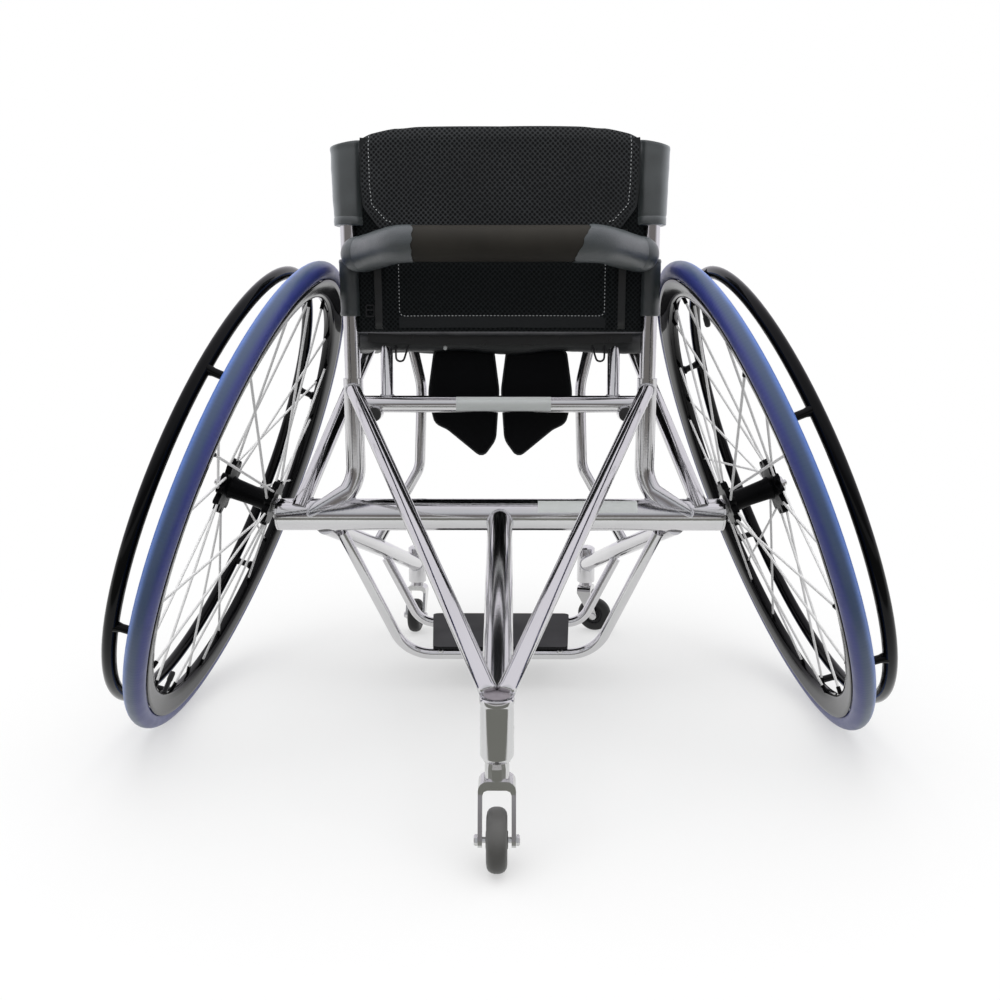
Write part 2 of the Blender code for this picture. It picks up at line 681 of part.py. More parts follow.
def caster(name, place, swivel_deg, trail, wheel_r, half_out, crown_top, neck_top, stem_top):
    """A fork with its stem, a wheel and the axle bolt, about the swivel axis."""
    swivel = math.radians(swivel_deg)
    frame = frame_empty(name + "_swivel", place, (0, 0, 1), (-math.sin(swivel), math.cos(swivel), 0))
    leg, crown_thick = 0.0042, 0.0085
    front = fork_outline_front(half_out, leg, crown_top, crown_thick, 0.012)
    fork = flat_prism(name + "_fork", front, 0.04, "satin_metal")
    fork.rotation_euler = (math.pi / 2, 0, 0)
    fork.parent = frame
    side_view = fork_outline_side(trail, wheel_r, crown_top, crown_thick, 0.0115, 0.0070)
    side = flat_prism(name + "_fork_side", side_view, 0.03)
    side.rotation_euler = (math.pi / 2, 0, math.pi / 2)
    side.parent = frame
    neck = [(0, stem_top), (STEM_R, stem_top), (STEM_R, neck_top), (0.0108, neck_top),
            (0.0118, neck_top - 0.0055), (0.0118, crown_top - 0.002), (0, crown_top - 0.002)]
    stem = turned(name + "_stem", neck, 16)
    stem.parent = frame
    hole = solid_rod(name + "_axle_hole", (-0.03, trail, wheel_r), (0.03, trail, wheel_r), 0.0034, 12)
    hole.parent = frame
    cut(fork, side, operation="INTERSECT")
    cut(fork, stem, operation="UNION")
    cut(fork, hole)
    wheel_and_bolt(name, frame, trail, wheel_r, half_out)


def wheel_and_bolt(name, frame, trail, wheel_r, half_out):
    centre = (0, trail, wheel_r)
    half = CASTER_WHEEL_WIDTH / 2
    outer_r = wheel_r / math.cos(math.pi / CASTER_STEPS)
    side_face = [(0.0036, half + 0.0006), (0.0085, half + 0.0006), (outer_r - 0.0095, half),
                 (outer_r - 0.0030, half - 0.0022), (outer_r, half - 0.0080)]
    profile = side_face + [(radius, -height) for radius, height in reversed(side_face)]
    wheel = turned(name + "_wheel", profile, CASTER_STEPS, "black_rubber", True)
    wheel.location = centre
    wheel.rotation_mode = "ZYX"
    wheel.rotation_euler = (0, math.pi / 2, math.pi / CASTER_STEPS)
    wheel.parent = frame
    face = half_out + GAP
    profile = [(0, face + 0.0034), (0.0046, face + 0.0034), (0.0056, face + 0.0022), (0.0056, face),
               (0.0030, face), (0.0030, -face), (0.0056, -face), (0.0056, -face - 0.0022),
               (0.0046, -face - 0.0034), (0, -face - 0.0034)]
    bolt = turned(name + "_axle_bolt", profile, 8, "satin_metal")
    bolt.location = centre
    bolt.rotation_euler = (0, math.pi / 2, 0)
    bolt.parent = frame


def casters():
    neck_top = CASTER_BARREL_FOOT_Z - GAP
    for side_name, side in SIDES.items():
        place = (side * CASTER_STEM_X, CASTER_STEM_Y, 0)
        caster("caster_" + side_name, place, CASTER_SWIVEL_DEG[side_name], CASTER_TRAIL, CASTER_WHEEL_R,
               0.0170, 0.0805, neck_top, 0.1365)
    caster("antitip", (0, ANTITIP_STEM_Y, 0), 180.0, ANTITIP_TRAIL, ANTITIP_WHEEL_R, 0.0181, 0.0850, 0.1022, 0.152)


def front_down_tubes():
    """Light tubes from the seat rails, cranked outwards at the foot to the caster arms."""
    for side_name, side in SIDES.items():
        y = DOWN_TUBE_Y
        corners = [(0.1920, y, SEAT_Z), (0.1330, y, SEAT_Z), (0.1180, y, 0.4350), (0.1228, y, 0.3130),
                   (0.1900, y, 0.1950)]
        route = rounded_route(mirrored(corners, side), [0.016, 0.100, 0.045], 4)
        part = tube("front_down_tube_" + side_name, route, LIGHT_TUBE_R, 10)
        cut(part, BLOCKS["seat_frame"], BLOCKS["caster_arm_" + side_name])


def foot_hoops():
    rear = [(-0.2125, 0.0200, 0.2450), (-0.1340, REAR_HOOP_Y, HOOP_Z), (0.1340, REAR_HOOP_Y, HOOP_Z),
            (0.2125, 0.0200, 0.2450)]
    part = tube("rear_foot_hoop", rounded_route(rear, 0.055, 4), FOOT_TUBE_R, 10)
    cut(part, BLOCKS["caster_arm_left"], BLOCKS["caster_arm_right"])
    front = [(-0.1810, FRONT_HOOP_Y, 0.1640), (-0.1276, FRONT_HOOP_Y, HOOP_Z), (0.1276, FRONT_HOOP_Y, HOOP_Z),
             (0.1810, FRONT_HOOP_Y, 0.1640)]
    part = tube("front_foot_hoop", rounded_route(front, 0.038, 4), FOOT_TUBE_R, 10)
    cut(part, BLOCKS["caster_arm_left"], BLOCKS["caster_arm_right"])


def footplate():
    """A thin plate on the two hoops, wider at the toes, with rounded corners."""
    middle_y = (FOOTPLATE_REAR_Y + FOOTPLATE_FRONT_Y) / 2
    half_y = (FOOTPLATE_FRONT_Y - FOOTPLATE_REAR_Y) / 2
    corner = 0.009
    outline = []
    for sign_x, sign_y, start in ((1, 1, 0), (-1, 1, 90), (-1, -1, 180), (1, -1, 270)):
        half_x = FOOTPLATE_FRONT_HALF if sign_y > 0 else FOOTPLATE_REAR_HALF
        centre = (sign_x * (half_x - corner), sign_y * (half_y - corner))
        outline += arc_points(centre, corner, start, start + 90, 3)
    plate = flat_prism("footplate", outline, FOOTPLATE_THICK / 2, "carbon_plate")
    plate.location = (0, middle_y, FOOTPLATE_TOP_Z - FOOTPLATE_THICK / 2)


def post_point(side, z):
    """A point on a backrest post's axis."""
    return Vector((side * POST_X, AXLE_Y - (z - RECEIVER_TOP_Z) * math.tan(RECLINE), z))


def backrest_posts():
    for side_name, side in SIDES.items():
        start, end = post_point(side, POST_FOOT_Z), post_point(side, POST_TOP_Z)
        solid_rod("back_post_" + side_name, start, end, POST_R, 16, "polished_tube")


def post_sleeves():
    """Vinyl sleeves on the posts: a slim lower pair, and the wide upper pair of pads."""
    for side_name, side in SIDES.items():
        low, high = [post_point(side, z) for z in LOWER_SLEEVE_Z]
        lower = tube("lower_sleeve_" + side_name, [low, high], LOWER_SLEEVE_R, 16, "black_vinyl")
        reach = (high - low) * 0.3
        cut(lower, solid_rod("lower_sleeve_bore_" + side_name, low - reach, high + reach, POST_R + GAP, 16))
        bottom, top = [post_point(side, z) for z in UPPER_SLEEVE_Z]
        half = Vector((*UPPER_SLEEVE_HALF, (top - bottom).length / 2))

        def slope(place, side=side, half=half):
            up = max(0.0, place.z / half.z)
            flare = 0.88 + 0.12 * (place.z / half.z + 1) / 2
            return Vector((place.x * flare, place.y, place.z - up * 0.20 * side * place.x))

        pad = soft_block("upper_sleeve_" + side_name, half, (1, 1, 2), "black_vinyl", slope, (1, 1, 0.5))
        pad.location = (bottom + top) / 2 + Vector((side * 0.0004, 0, 0))
        pad.rotation_euler = (RECLINE, 0, 0)
        bore = solid_rod("sleeve_bore_" + side_name, post_point(side, 0.60), post_point(side, POST_TOP_Z + GAP),
                         POST_R + GAP, 16)
        cut(pad, bore)


def soft_block(name, half, cuts, material, bend, spread=(1, 1, 1)):
    """A padded form from a coarse block cage. A spread under 1 moves the loops out and sharpens the rim."""
    shape = bmesh.new()
    bmesh.ops.create_cube(shape, size=2.0)
    for axis, count in enumerate(cuts):
        edges = []
        for edge in shape.edges:
            span = edge.verts[0].co - edge.verts[1].co
            if abs(span[axis]) > 1e-6 and all(abs(span[i]) < 1e-6 for i in range(3) if i != axis):
                edges.append(edge)
        bmesh.ops.subdivide_edges(shape, edges=edges, cuts=count, use_grid_fill=True)
    for vert in shape.verts:
        place = [math.copysign(abs(vert.co[i]) ** spread[i], vert.co[i]) * half[i] for i in range(3)]
        vert.co = bend(Vector(place))
    shape.normal_update()
    bmesh.ops.recalc_face_normals(shape, faces=shape.faces)
    part = mesh_part(name, shape, material)
    soften = part.modifiers.new("soften", "SUBSURF")
    soften.levels = 1
    soften.render_levels = 1
    return part


def grab_bar():
    """A padded bar behind the back, bent forwards to end in round caps against the posts."""
    y, z = -0.0325, 0.6045
    cap = [(x, y, z) for x in (GRAB_TIP_X, 0.1930, 0.1870, 0.1790)]
    bends = rounded_route([cap[-1], (0.1690, y, z), (0.1180, -0.0980, 0.6100), (0, -0.0980, 0.6100)],
                          [0.010, 0.034], 3)
    half = [Vector(place) for place in cap[:-1]] + bends[:-1]
    route = [Vector((-place.x, place.y, place.z)) for place in half] + half[::-1]
    swell = [math.sqrt(1 - (max(0.0, abs(place.x) - GRAB_CAP_X) / 0.034) ** 2) for place in route]
    tube("grab_bar", route, GRAB_BAR_R, 12, "black_vinyl", swell)


def back_plane_y(z):
    return AXLE_Y - (z - RECEIVER_TOP_Z) * math.tan(RECLINE)


def back_panels():
    """The back pad sags rearwards between the posts. A cover hangs over its top."""

    def pad_form(place):
        across = min(1.0, abs(place.x) / BACK_PAD_HALF_WIDTH)
        low_share = min(1.0, max(0.0, -place.z / 0.040 + 0.1))
        return Vector((place.x * (1 + 0.045 * low_share), place.y - BACK_SAG * (1 - across ** 2), place.z))

    low, high = BACK_PAD_Z
    middle = (low + high) / 2
    half = Vector((BACK_PAD_HALF_WIDTH, 0.0120, (high - low) / 2))
    pad = soft_block("back_pad", half, (4, 0, 3), "black_mesh", pad_form, (0.6, 1, 0.8))
    pad.location = (0, back_plane_y(middle) + 0.002, middle)
    pad.rotation_euler = (RECLINE, 0, 0)

    def cover_form(place):
        across = min(1.0, abs(place.x) / BACK_COVER_HALF_WIDTH)
        up = place.z / half.z
        corner = 0.020 * max(0.0, -up - 0.4) / 0.6 * across ** 4
        width = 1 + 0.005 * up
        bow = 1 - across ** 2
        return Vector((place.x * width - math.copysign(corner, place.x), place.y - BACK_SAG * bow,
                       place.z + 0.002 * bow * max(0.0, up)))

    low, high = BACK_COVER_Z
    middle = (low + high) / 2
    half = Vector((BACK_COVER_HALF_WIDTH, 0.0036, (high - low) / 2))
    cover = soft_block("back_cover", half, (4, 0, 2), "black_mesh", cover_form, (0.5, 1, 0.6))
    cover.location = (0, back_plane_y(middle) - 0.0175, middle)
    cover.rotation_euler = (RECLINE, 0, 0)


def seat_sling():
    """A taut sling on the seat hoop, with a slight dip."""
    half = Vector((SEAT_HALF_WIDTH - 0.002, (SEAT_FRONT_Y - SEAT_REAR_Y) / 2 + 0.004, 0.0030))

    def dip(place):
        across = 1 - (place.x / half.x) ** 2
        along = 1 - (place.y / half.y) ** 2
        return Vector((place.x, place.y, place.z - 0.003 * across * along))

    sling = soft_block("seat_sling", half, (3, 3, 0), "black_mesh", dip, (0.7, 0.7, 1))
    sling.location = (0, (SEAT_FRONT_Y + SEAT_REAR_Y) / 2 + 0.002, SEAT_Z + SEAT_TUBE_R + half.z + 0.0005)


def leg_flaps():
    """Two padded flaps hung under the seat's rear tube, cut away outwards to rounded tips."""
    corners = [(0.0095, 0.4885), (0.0868, 0.4885), (0.0955, 0.4280), (0.0870, 0.3915), (0.0700, 0.3835),
               (0.0240, 0.3455), (0.0070, 0.3690), (0.0025, 0.4350)]
    radii = [0.006, 0.008, 0.060, 0.014, 0.024, 0.008, 0.026, 0.060]
    for side_name, side in SIDES.items():
        route = rounded_route([(side * x, z, 0) for x, z in corners], radii, 3, closed=True)
        flap = flat_prism("leg_flap_" + side_name, [(place.x, place.y) for place in route], FLAP_HALF_THICK,
                          "black_mesh")
        flap.location = (0, SEAT_REAR_Y + 0.006, 0)
        flap.rotation_euler = (math.pi / 2, 0, 0)
        rounding = flap.modifiers.new("rounding", "BEVEL")
        rounding.width = 0.0038
        rounding.segments = 2
        rounding.limit_method = "ANGLE"
        rounding.angle_limit = math.radians(60)


def wheels():
    for side_name in SIDES:
        frame = wheel_frame(side_name)
        tyre(side_name, frame)
        rim(side_name, frame)
        handrim(side_name, frame)
        hub(side_name, frame)
        axle(side_name, frame)
        camber_plug(side_name)


def chassis():
    camber_tube()
    for side_name in SIDES:
        receiver(side_name)
    antitip_housing()
    v_stays_and_boom()
    cross_bar()
    seat_frame()
    side_tubes()
    rear_struts()
    caster_housings()
    caster_arms()
    stem_bushes()
    front_down_tubes()
    foot_hoops()
    footplate()


def upholstery():
    post_sleeves()
    grab_bar()
    back_panels()
    seat_sling()
    leg_flaps()


chassis()
wheels()
casters()
backrest_posts()
upholstery()
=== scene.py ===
import json
import math

import bmesh
import bpy
from bpy.props import FloatProperty, IntProperty, PointerProperty
from mathutils import Matrix, Vector, noise
from mathutils.bvhtree import BVHTree


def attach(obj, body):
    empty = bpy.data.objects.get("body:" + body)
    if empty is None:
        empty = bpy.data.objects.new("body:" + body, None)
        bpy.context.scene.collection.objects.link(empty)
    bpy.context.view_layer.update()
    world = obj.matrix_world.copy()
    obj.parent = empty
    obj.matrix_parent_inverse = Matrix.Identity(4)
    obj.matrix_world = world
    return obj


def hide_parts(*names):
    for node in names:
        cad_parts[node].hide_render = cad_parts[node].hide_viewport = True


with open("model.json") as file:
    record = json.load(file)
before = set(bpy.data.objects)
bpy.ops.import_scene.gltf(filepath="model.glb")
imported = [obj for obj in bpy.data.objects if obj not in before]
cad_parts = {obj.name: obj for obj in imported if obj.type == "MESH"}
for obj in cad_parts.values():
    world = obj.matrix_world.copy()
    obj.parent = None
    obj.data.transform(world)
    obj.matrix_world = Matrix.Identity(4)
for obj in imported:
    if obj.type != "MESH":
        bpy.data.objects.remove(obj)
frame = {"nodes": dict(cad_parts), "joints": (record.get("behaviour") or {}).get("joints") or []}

bl_info = {
    "name": "Court wheelchair looks",
    "version": (1, 0, 0),
    "blender": (4, 5, 0),
    "location": "View3D > Sidebar > Court Chair",
    "description": "Dresses the packed court wheelchair with detailed pieces, finishes and a studio",
    "category": "Object",
}

SIDES = {"left": -1.0, "right": 1.0}
JOINTS = {joint["name"]: joint for joint in frame["joints"]}
MATERIALS = {}
TREES = {}
BACK = {}

# Wheels, in metres
TYRE_OUTER_R = 0.320
TYRE_SECTION_R = 0.0120
RIM_INNER_R = 0.274
HANDRIM_R = 0.291
HANDRIM_SECTION_R = 0.0080
HANDRIM_OFFSET = 0.038
HANDRIM_TABS = 6
HANDRIM_TAB_TURN = math.radians(5.0)
HANDRIM_TAB_FOOT_R = 0.2890
HANDRIM_TAB_FOOT_Z = 0.0102
VALVE_TURN = math.radians(200.0)
SPOKES_A_FLANGE = 12
SPOKE_LEAN = math.radians(26.0)
SPOKE_STAGGER = 0.0021
HUB_OUTER_FLANGE_R = 0.0375
HUB_INNER_FLANGE_R = 0.0305
HUB_OUTER_Z = 0.035
HUB_INNER_Z = -0.036
HUB_FLANGE_THICK = 0.0085
HUB_BORE_R = 0.0068
CASTER_WHEEL_R = 0.029
ANTITIP_WHEEL_R = 0.030
CASTER_HALF_WIDTH = 0.0100

# Frame tubes
AXLE_Y = 0.008
CAMBER_TUBE_R = 0.02125
CAMBER_TUBE_Z = 0.2722
BOOM_R = 0.01625
MAIN_TUBE_R = 0.0127
SIDE_TUBE_R = 0.0110
STAY_R = 0.0095
LIGHT_TUBE_R = 0.0080
FOOT_TUBE_R = 0.0076
POST_R = 0.0102
POST_X = 0.191
RECLINE = math.radians(3.0)
RECEIVER_TOP_Z = 0.452
RECEIVER_CORNER_Z = 0.3002
CROSS_BAR_Z = 0.4185
BOSS_X = 0.1625
BOSS_DROP = 0.0125
BOSS_R = 0.0093
STRUT_X = 0.147
STEM_X = 0.1483
STEM_Y = 0.391
BARREL_R = 0.0153
CASTER_BARREL_TOP_Z = 0.1500
CASTER_BARREL_FOOT_Z = 0.0865
ANTITIP_Y = -0.376
ANTITIP_BARREL_R = 0.0166
HOOP_Z = 0.0592
REAR_HOOP_Y = 0.0705
FRONT_HOOP_Y = 0.228
DOWN_TUBE_Y = 0.190

# Seat and upholstery
SEAT_Z = 0.5005
SEAT_HALF_WIDTH = 0.198
SEAT_REAR_Y = 0.036
SEAT_FRONT_Y = 0.410
SEAT_CORNER_R = 0.048
SEAT_TUBE_R = 0.0110
SEAT_SLEEVE_R = 0.0121
REAR_STRAP_HALF = 0.172
PAD_LOW_Z = 0.511
PAD_HIGH_Z = 0.736
PAD_HALF_WIDTH = 0.1830
BACK_SAG = 0.024
COVER_FOLD_X = 0.120
COVER_BEHIND = 0.0170
BINDING_BEHIND = 0.0182
COVER_STITCH_BEHIND = 0.0208
GRAB_BAR_R = 0.0207
GRAB_BAR_Z = 0.6100
GRAB_BAR_Y = -0.0980
GRAB_TIP_X = 0.172
GRAB_TIP_LENGTH = 0.0240
WRAP_INNER_ENDS = {"left": 0.0990, "right": 0.0955}
UPPER_SLEEVE_Z = (0.6420, 0.7385)
UPPER_SLEEVE_HALVES = (0.0207, 0.0168)
UPPER_SLEEVE_SIZES = (
    (0.0, 0.78), (0.0, 0.92), (0.004, 0.97), (0.012, 0.99), (0.05, 1.0), (0.09, 0.99), (0.10, 0.965),
    (0.105, 0.955), (0.115, 0.97), (0.14, 0.985), (0.22, 0.99), (0.32, 1.0), (0.42, 1.005), (0.52, 1.01),
    (0.62, 1.01), (0.72, 1.01), (0.82, 1.01), (0.90, 1.005), (0.94, 1.0), (0.965, 1.015), (0.985, 1.02),
    (1.0, 1.0), (1.0, 0.94), (0.992, 0.90), (0.992, 0.62),
)
LOWER_SLEEVE_R = 0.0128
PAD_BAND_X = 0.143
PAD_WELTS = ((0.1405, 0.0024, 0.0022), (0.1300, 0.0022, 0.0016))
COVER_OUTLINE = [(0.0, 0.7515), (0.100, 0.7530), (0.128, 0.7528), (0.158, 0.7475), (0.1705, 0.7425),
                 (0.1715, 0.7330), (0.1712, 0.6880), (0.1690, 0.6640), (0.1500, 0.6365), (0.1380, 0.6325),
                 (0.0, 0.6320)]
WRAP_RAGGED_RINGS = 12
FLAP_CORNERS = [(0.0095, 0.4885), (0.0868, 0.4885), (0.0955, 0.4280), (0.0870, 0.3915), (0.0700, 0.3835),
                (0.0240, 0.3455), (0.0070, 0.3690), (0.0025, 0.4350)]
FLAP_RADII = [0.006, 0.008, 0.060, 0.014, 0.024, 0.008, 0.026, 0.060]
PUFF_FRAMES = 20
SEAM_WIDTH = 0.0045
PIPING_R = 0.0018
HOOK_STRAP_R = 0.0013
STITCH_WIDTH = 0.0010
ROUTE_PITCH = 0.004
MESH_CELLS_A_METRE = 235.0

# Stage
FLOOR_REACH = 7.0
CAMERA_PLACE = (0.009, -1.217, 0.4851)
CAMERA_TURN = math.radians(0.42)
STRIP_LAMP_SHARE = 0.06


class ChairSettings(bpy.types.PropertyGroup):
    """Sizes and levels that the operators read."""

    ring_steps: IntProperty(
        name="Ring steps", description="Steps round a tyre, rim or handrim", default=112, min=24)
    spoke_radius: FloatProperty(
        name="Spoke radius", description="Radius of one spoke", default=0.0016, unit="LENGTH")
    nipple_radius: FloatProperty(
        name="Nipple radius", description="Radius of a spoke nipple", default=0.0026, unit="LENGTH")
    stitch_pitch: FloatProperty(
        name="Stitch pitch", description="Distance between stitches", default=0.0044, unit="LENGTH")
    weld_width: FloatProperty(
        name="Weld width", description="Width of a weld bead", default=0.0033, unit="LENGTH")
    weld_pitch: FloatProperty(
        name="Weld pitch", description="Distance between a weld's ripples", default=0.0013, unit="LENGTH")
    lens: FloatProperty(
        name="Lens", description="Focal length on a 36 mm sensor, in millimetres", default=33.67)
    camera_pitch: FloatProperty(
        name="Camera pitch", description="How far the camera looks down", default=math.radians(8.97),
        subtype="ANGLE")
    ambient: FloatProperty(
        name="Ambient", description="Strength of the studio's even light", default=0.70)
    key_power: FloatProperty(
        name="Key power", description="Power of the large overhead lamp, in watts", default=42.0)
    floor_lift: FloatProperty(
        name="Floor lift", description="Share of plain white in the floor under the chair", default=0.50)
    dark_side: FloatProperty(
        name="Dark side", description="Brightness of the unlit studio behind the camera", default=0.19)


class Web:
    """A node tree with short calls that add and join nodes."""

    def __init__(self, tree):
        """Takes the tree to build in."""
        self.tree = tree

    def add(self, kind, sockets=None, **settings):
        """A new node with its settings, its inputs joined or set."""
        made = self.tree.nodes.new(kind)
        for name, value in settings.items():
            setattr(made, name, value)
        for key, value in (sockets or {}).items():
            self.feed(made.inputs[key], value)
        return made

    def feed(self, socket, value):
        """Joins an output to a socket, or sets its value."""
        if isinstance(value, bpy.types.NodeSocket):
            self.tree.links.new(value, socket)
        else:
            socket.default_value = value

    def math(self, operation, first, second=0.0):
        """A sum, a product or the like of two values."""
        return self.add("ShaderNodeMath", {0: first, 1: second}, operation=operation).outputs[0]

    def ramp(self, value, stops, interpolation="LINEAR"):
        """A colour ramp with the given (position, colour) stops."""
        made = self.add("ShaderNodeValToRGB", {"Fac": value})
        band = made.color_ramp
        band.interpolation = interpolation
        while len(band.elements) < len(stops):
            band.elements.new(0.5)
        for element, (position, colour) in zip(band.elements, stops):
            element.position = position
            element.color = (*colour, 1.0)
        return made.outputs["Color"]

    def span(self, value, low, high, to_low, to_high):
        """A value carried from one range to another, held at its ends."""
        made = self.add("ShaderNodeMapRange", {
            "Value": value, "From Min": low, "From Max": high, "To Min": to_low, "To Max": to_high})
        return made.outputs["Result"]

    def mix(self, share, first, second):
        """A blend of two colours. Their sockets are the mix node's seventh and eighth."""
        made = self.add("ShaderNodeMix", {0: share}, data_type="RGBA")
        for socket, value in ((made.inputs[6], first), (made.inputs[7], second)):
            self.feed(socket, value if isinstance(value, bpy.types.NodeSocket) else (*value, 1.0))
        return made.outputs[2]

    def seen(self):
        """The light path's outputs, and whether a ray comes from the camera, also through glass."""
        rays = self.add("ShaderNodeLightPath").outputs
        return rays, self.math("MAXIMUM", rays["Is Camera Ray"], rays["Is Transmission Ray"])


def scaled(colour, share):
    """A lighter or darker colour."""
    return tuple(min(1.0, channel * share) for channel in colour)


def blank_web(holder):
    """The emptied node tree of a material or a world."""
    holder.use_nodes = True
    holder.node_tree.nodes.clear()
    return Web(holder.node_tree)


def new_material(name):
    """An empty finish, by its node tree and its shader's inputs."""
    material = bpy.data.materials.new("look_" + name)
    web = blank_web(material)
    shader = web.add("ShaderNodeBsdfPrincipled")
    web.add("ShaderNodeOutputMaterial", {"Surface": shader.outputs[0]})
    MATERIALS[name] = material
    return web, shader.inputs


def dress(web, inputs, colour, roughness, bump, specular=0.5, metallic=0.0, coat=0.0, coat_roughness=0.08):
    """Joins up a finish. The bump is a strength, a distance and a height."""
    relief = web.add("ShaderNodeBump", dict(zip(("Strength", "Distance", "Height"), bump)))
    for name, value in (("Base Color", colour), ("Roughness", roughness), ("Metallic", metallic),
                        ("Specular IOR Level", specular), ("Coat Weight", coat),
                        ("Coat Roughness", coat_roughness), ("Normal", relief.outputs[0])):
        web.feed(inputs[name], value)


def object_place(web, turn=(0, 0, 0)):
    """The place on the piece, turned for patterns that lie at an angle."""
    place = web.add("ShaderNodeTexCoord").outputs["Object"]
    return web.add("ShaderNodeMapping", {"Vector": place, "Rotation": turn}).outputs[0]


def profile_place(web):
    """A piece's own UV map, whole and by its parts: X along the piece, Y round its section."""
    around = web.add("ShaderNodeUVMap", uv_map="profile").outputs[0]
    return around, web.add("ShaderNodeSeparateXYZ", {0: around}).outputs


def grain(web, place, scale, detail=3.0):
    """Soft random patches."""
    return web.add("ShaderNodeTexNoise", {"Vector": place, "Scale": scale, "Detail": detail}).outputs[0]


def streaks(web):
    """Faint drawing lines along a tube, from how far round the tube a place is."""
    parts = profile_place(web)[1]
    angle = web.math("MULTIPLY", parts["Y"], math.tau)
    along = web.math("MULTIPLY", parts["X"], 0.6)
    place = web.add("ShaderNodeCombineXYZ", {
        "X": web.math("COSINE", angle), "Y": web.math("SINE", angle), "Z": along})
    return grain(web, place.outputs[0], 6.5, 4.0)


def plain_finish(name, colour, roughness, metallic=0.0, uneven=0.10, patch=11.0, swing=0.05, bump=0.10,
                 bump_scale=700.0, depth=0.0004, specular=0.5, drawn=0.0):
    """A finish with faint patches of tone, uneven gloss and a fine grain."""
    web, inputs = new_material(name)
    place = object_place(web)
    patches = grain(web, place, patch)
    tone = web.span(patches, 0.25, 0.75, 0.0, 1.0)
    height = grain(web, place, bump_scale, 2.0)
    if drawn:
        height = web.math("ADD", height, web.math("MULTIPLY", streaks(web), drawn))
    dress(web, inputs, web.mix(tone, scaled(colour, 1 - uneven), scaled(colour, 1 + uneven)),
          web.span(patches, 0.3, 0.7, roughness - swing, roughness + swing), (bump, depth, height),
          specular, metallic)


def mesh_fabric(name, ground, thread):
    """Spacer mesh: rows of small open cells set on the diagonal."""
    web, inputs = new_material(name)
    cells = web.add("ShaderNodeTexVoronoi", voronoi_dimensions="2D")
    place = object_place(web, (math.radians(90), 0, math.radians(45)))
    for key, value in (("Vector", place), ("Scale", MESH_CELLS_A_METRE), ("Randomness", 0.10)):
        web.feed(cells.inputs[key], value)
    open_cell = web.span(cells.outputs["Distance"], 0.28, 0.50, 0.0, 1.0)
    patches = grain(web, object_place(web), 18.0)
    thread_tone = web.mix(patches, scaled(thread, 0.65), scaled(thread, 1.35))
    dress(web, inputs, web.mix(open_cell, ground, thread_tone), web.span(patches, 0.3, 0.7, 0.70, 0.85),
          (0.5, 0.0006, open_cell), 0.12)


def vinyl(name, colour, roughness, creases=0.25, specular=0.6, coat=0.0, painted_sheen=0.0):
    """Coated cloth with a pebbled grain and soft creases, its colour painted paler where it turns away, as
    a painted sheen.
    """
    web, inputs = new_material(name)
    place = object_place(web)
    pebble = web.add("ShaderNodeTexVoronoi", {"Vector": place, "Scale": 950.0})
    soft = grain(web, place, 42.0, 4.0)
    height = web.math("ADD", pebble.outputs["Distance"], web.math("MULTIPLY", soft, 4.0))
    ground = web.mix(soft, scaled(colour, 0.8), scaled(colour, 1.25))
    # Painted sheen: the colour is blended towards a pale teal-grey where the surface turns away, standing
    # in for a reflection of the bright room.
    facing = web.add("ShaderNodeLayerWeight", {"Blend": 0.5}).outputs["Facing"]
    painted_sheen_share = web.span(facing, 0.10, 0.70, 0.0, painted_sheen)
    dress(web, inputs, web.mix(painted_sheen_share, ground, (0.40, 0.45, 0.46)),
          web.span(soft, 0.3, 0.7, roughness - 0.05, roughness + 0.07), (creases, 0.0005, height),
          specular, 0.0, coat, roughness)


def tyre_finish():
    """Blue sidewalls and a slate tread, with painted light: the outboard side painted lighter as if lit,
    the inboard side deeper as if shaded, and a painted sheen in the slate crown. V runs round the section
    from the crown, outboard side first.
    """
    web, inputs = new_material("tyre")
    around, parts = profile_place(web)
    # The bands hold painted light: the outboard blue is painted lighter as if lit, the inboard blue deeper
    # as if in shade, and the slate crown is lightened as a painted sheen.
    slate = (0.048, 0.088, 0.185)
    painted_lit_blue = (0.085, 0.210, 0.660)
    deep = (0.034, 0.048, 0.260)
    worn = (0.085, 0.11, 0.19)
    bands = web.ramp(parts["Y"], [
        (0.0, slate), (0.02, slate), (0.14, painted_lit_blue), (0.42, painted_lit_blue), (0.56, deep), (0.87, deep),
        (0.98, slate), (1.0, slate)], "EASE")
    wear = grain(web, object_place(web), 60.0)
    blocks = web.add("ShaderNodeTexWave", {"Vector": around, "Scale": 120.0}, bands_direction="X")
    fine = grain(web, object_place(web), 900.0)
    height = web.math("ADD", web.math("MULTIPLY", blocks.outputs["Fac"], 0.5), fine)
    dress(web, inputs, web.mix(web.span(wear, 0.35, 0.75, 0.0, 0.20), bands, worn),
          web.span(wear, 0.3, 0.7, 0.40, 0.52), (0.35, 0.0004, height), coat=0.35, coat_roughness=0.30)


def plate_finish():
    """Dark woven laminate."""
    web, inputs = new_material("plate")
    first, second = (web.add("ShaderNodeTexWave", {
        "Vector": object_place(web, (0, 0, math.radians(turn))), "Scale": 95.0, "Distortion": 0.4})
        for turn in (45, -45))
    weave = web.math("MULTIPLY", first.outputs["Fac"], second.outputs["Fac"])
    patches = grain(web, object_place(web), 9.0)
    tone = web.math("ADD", web.math("MULTIPLY", weave, 0.6), web.math("MULTIPLY", patches, 0.4))
    dress(web, inputs, web.mix(tone, (0.007, 0.007, 0.008), (0.026, 0.026, 0.028)),
          web.span(patches, 0.3, 0.7, 0.45, 0.60), (0.2, 0.0003, weave), 0.15)


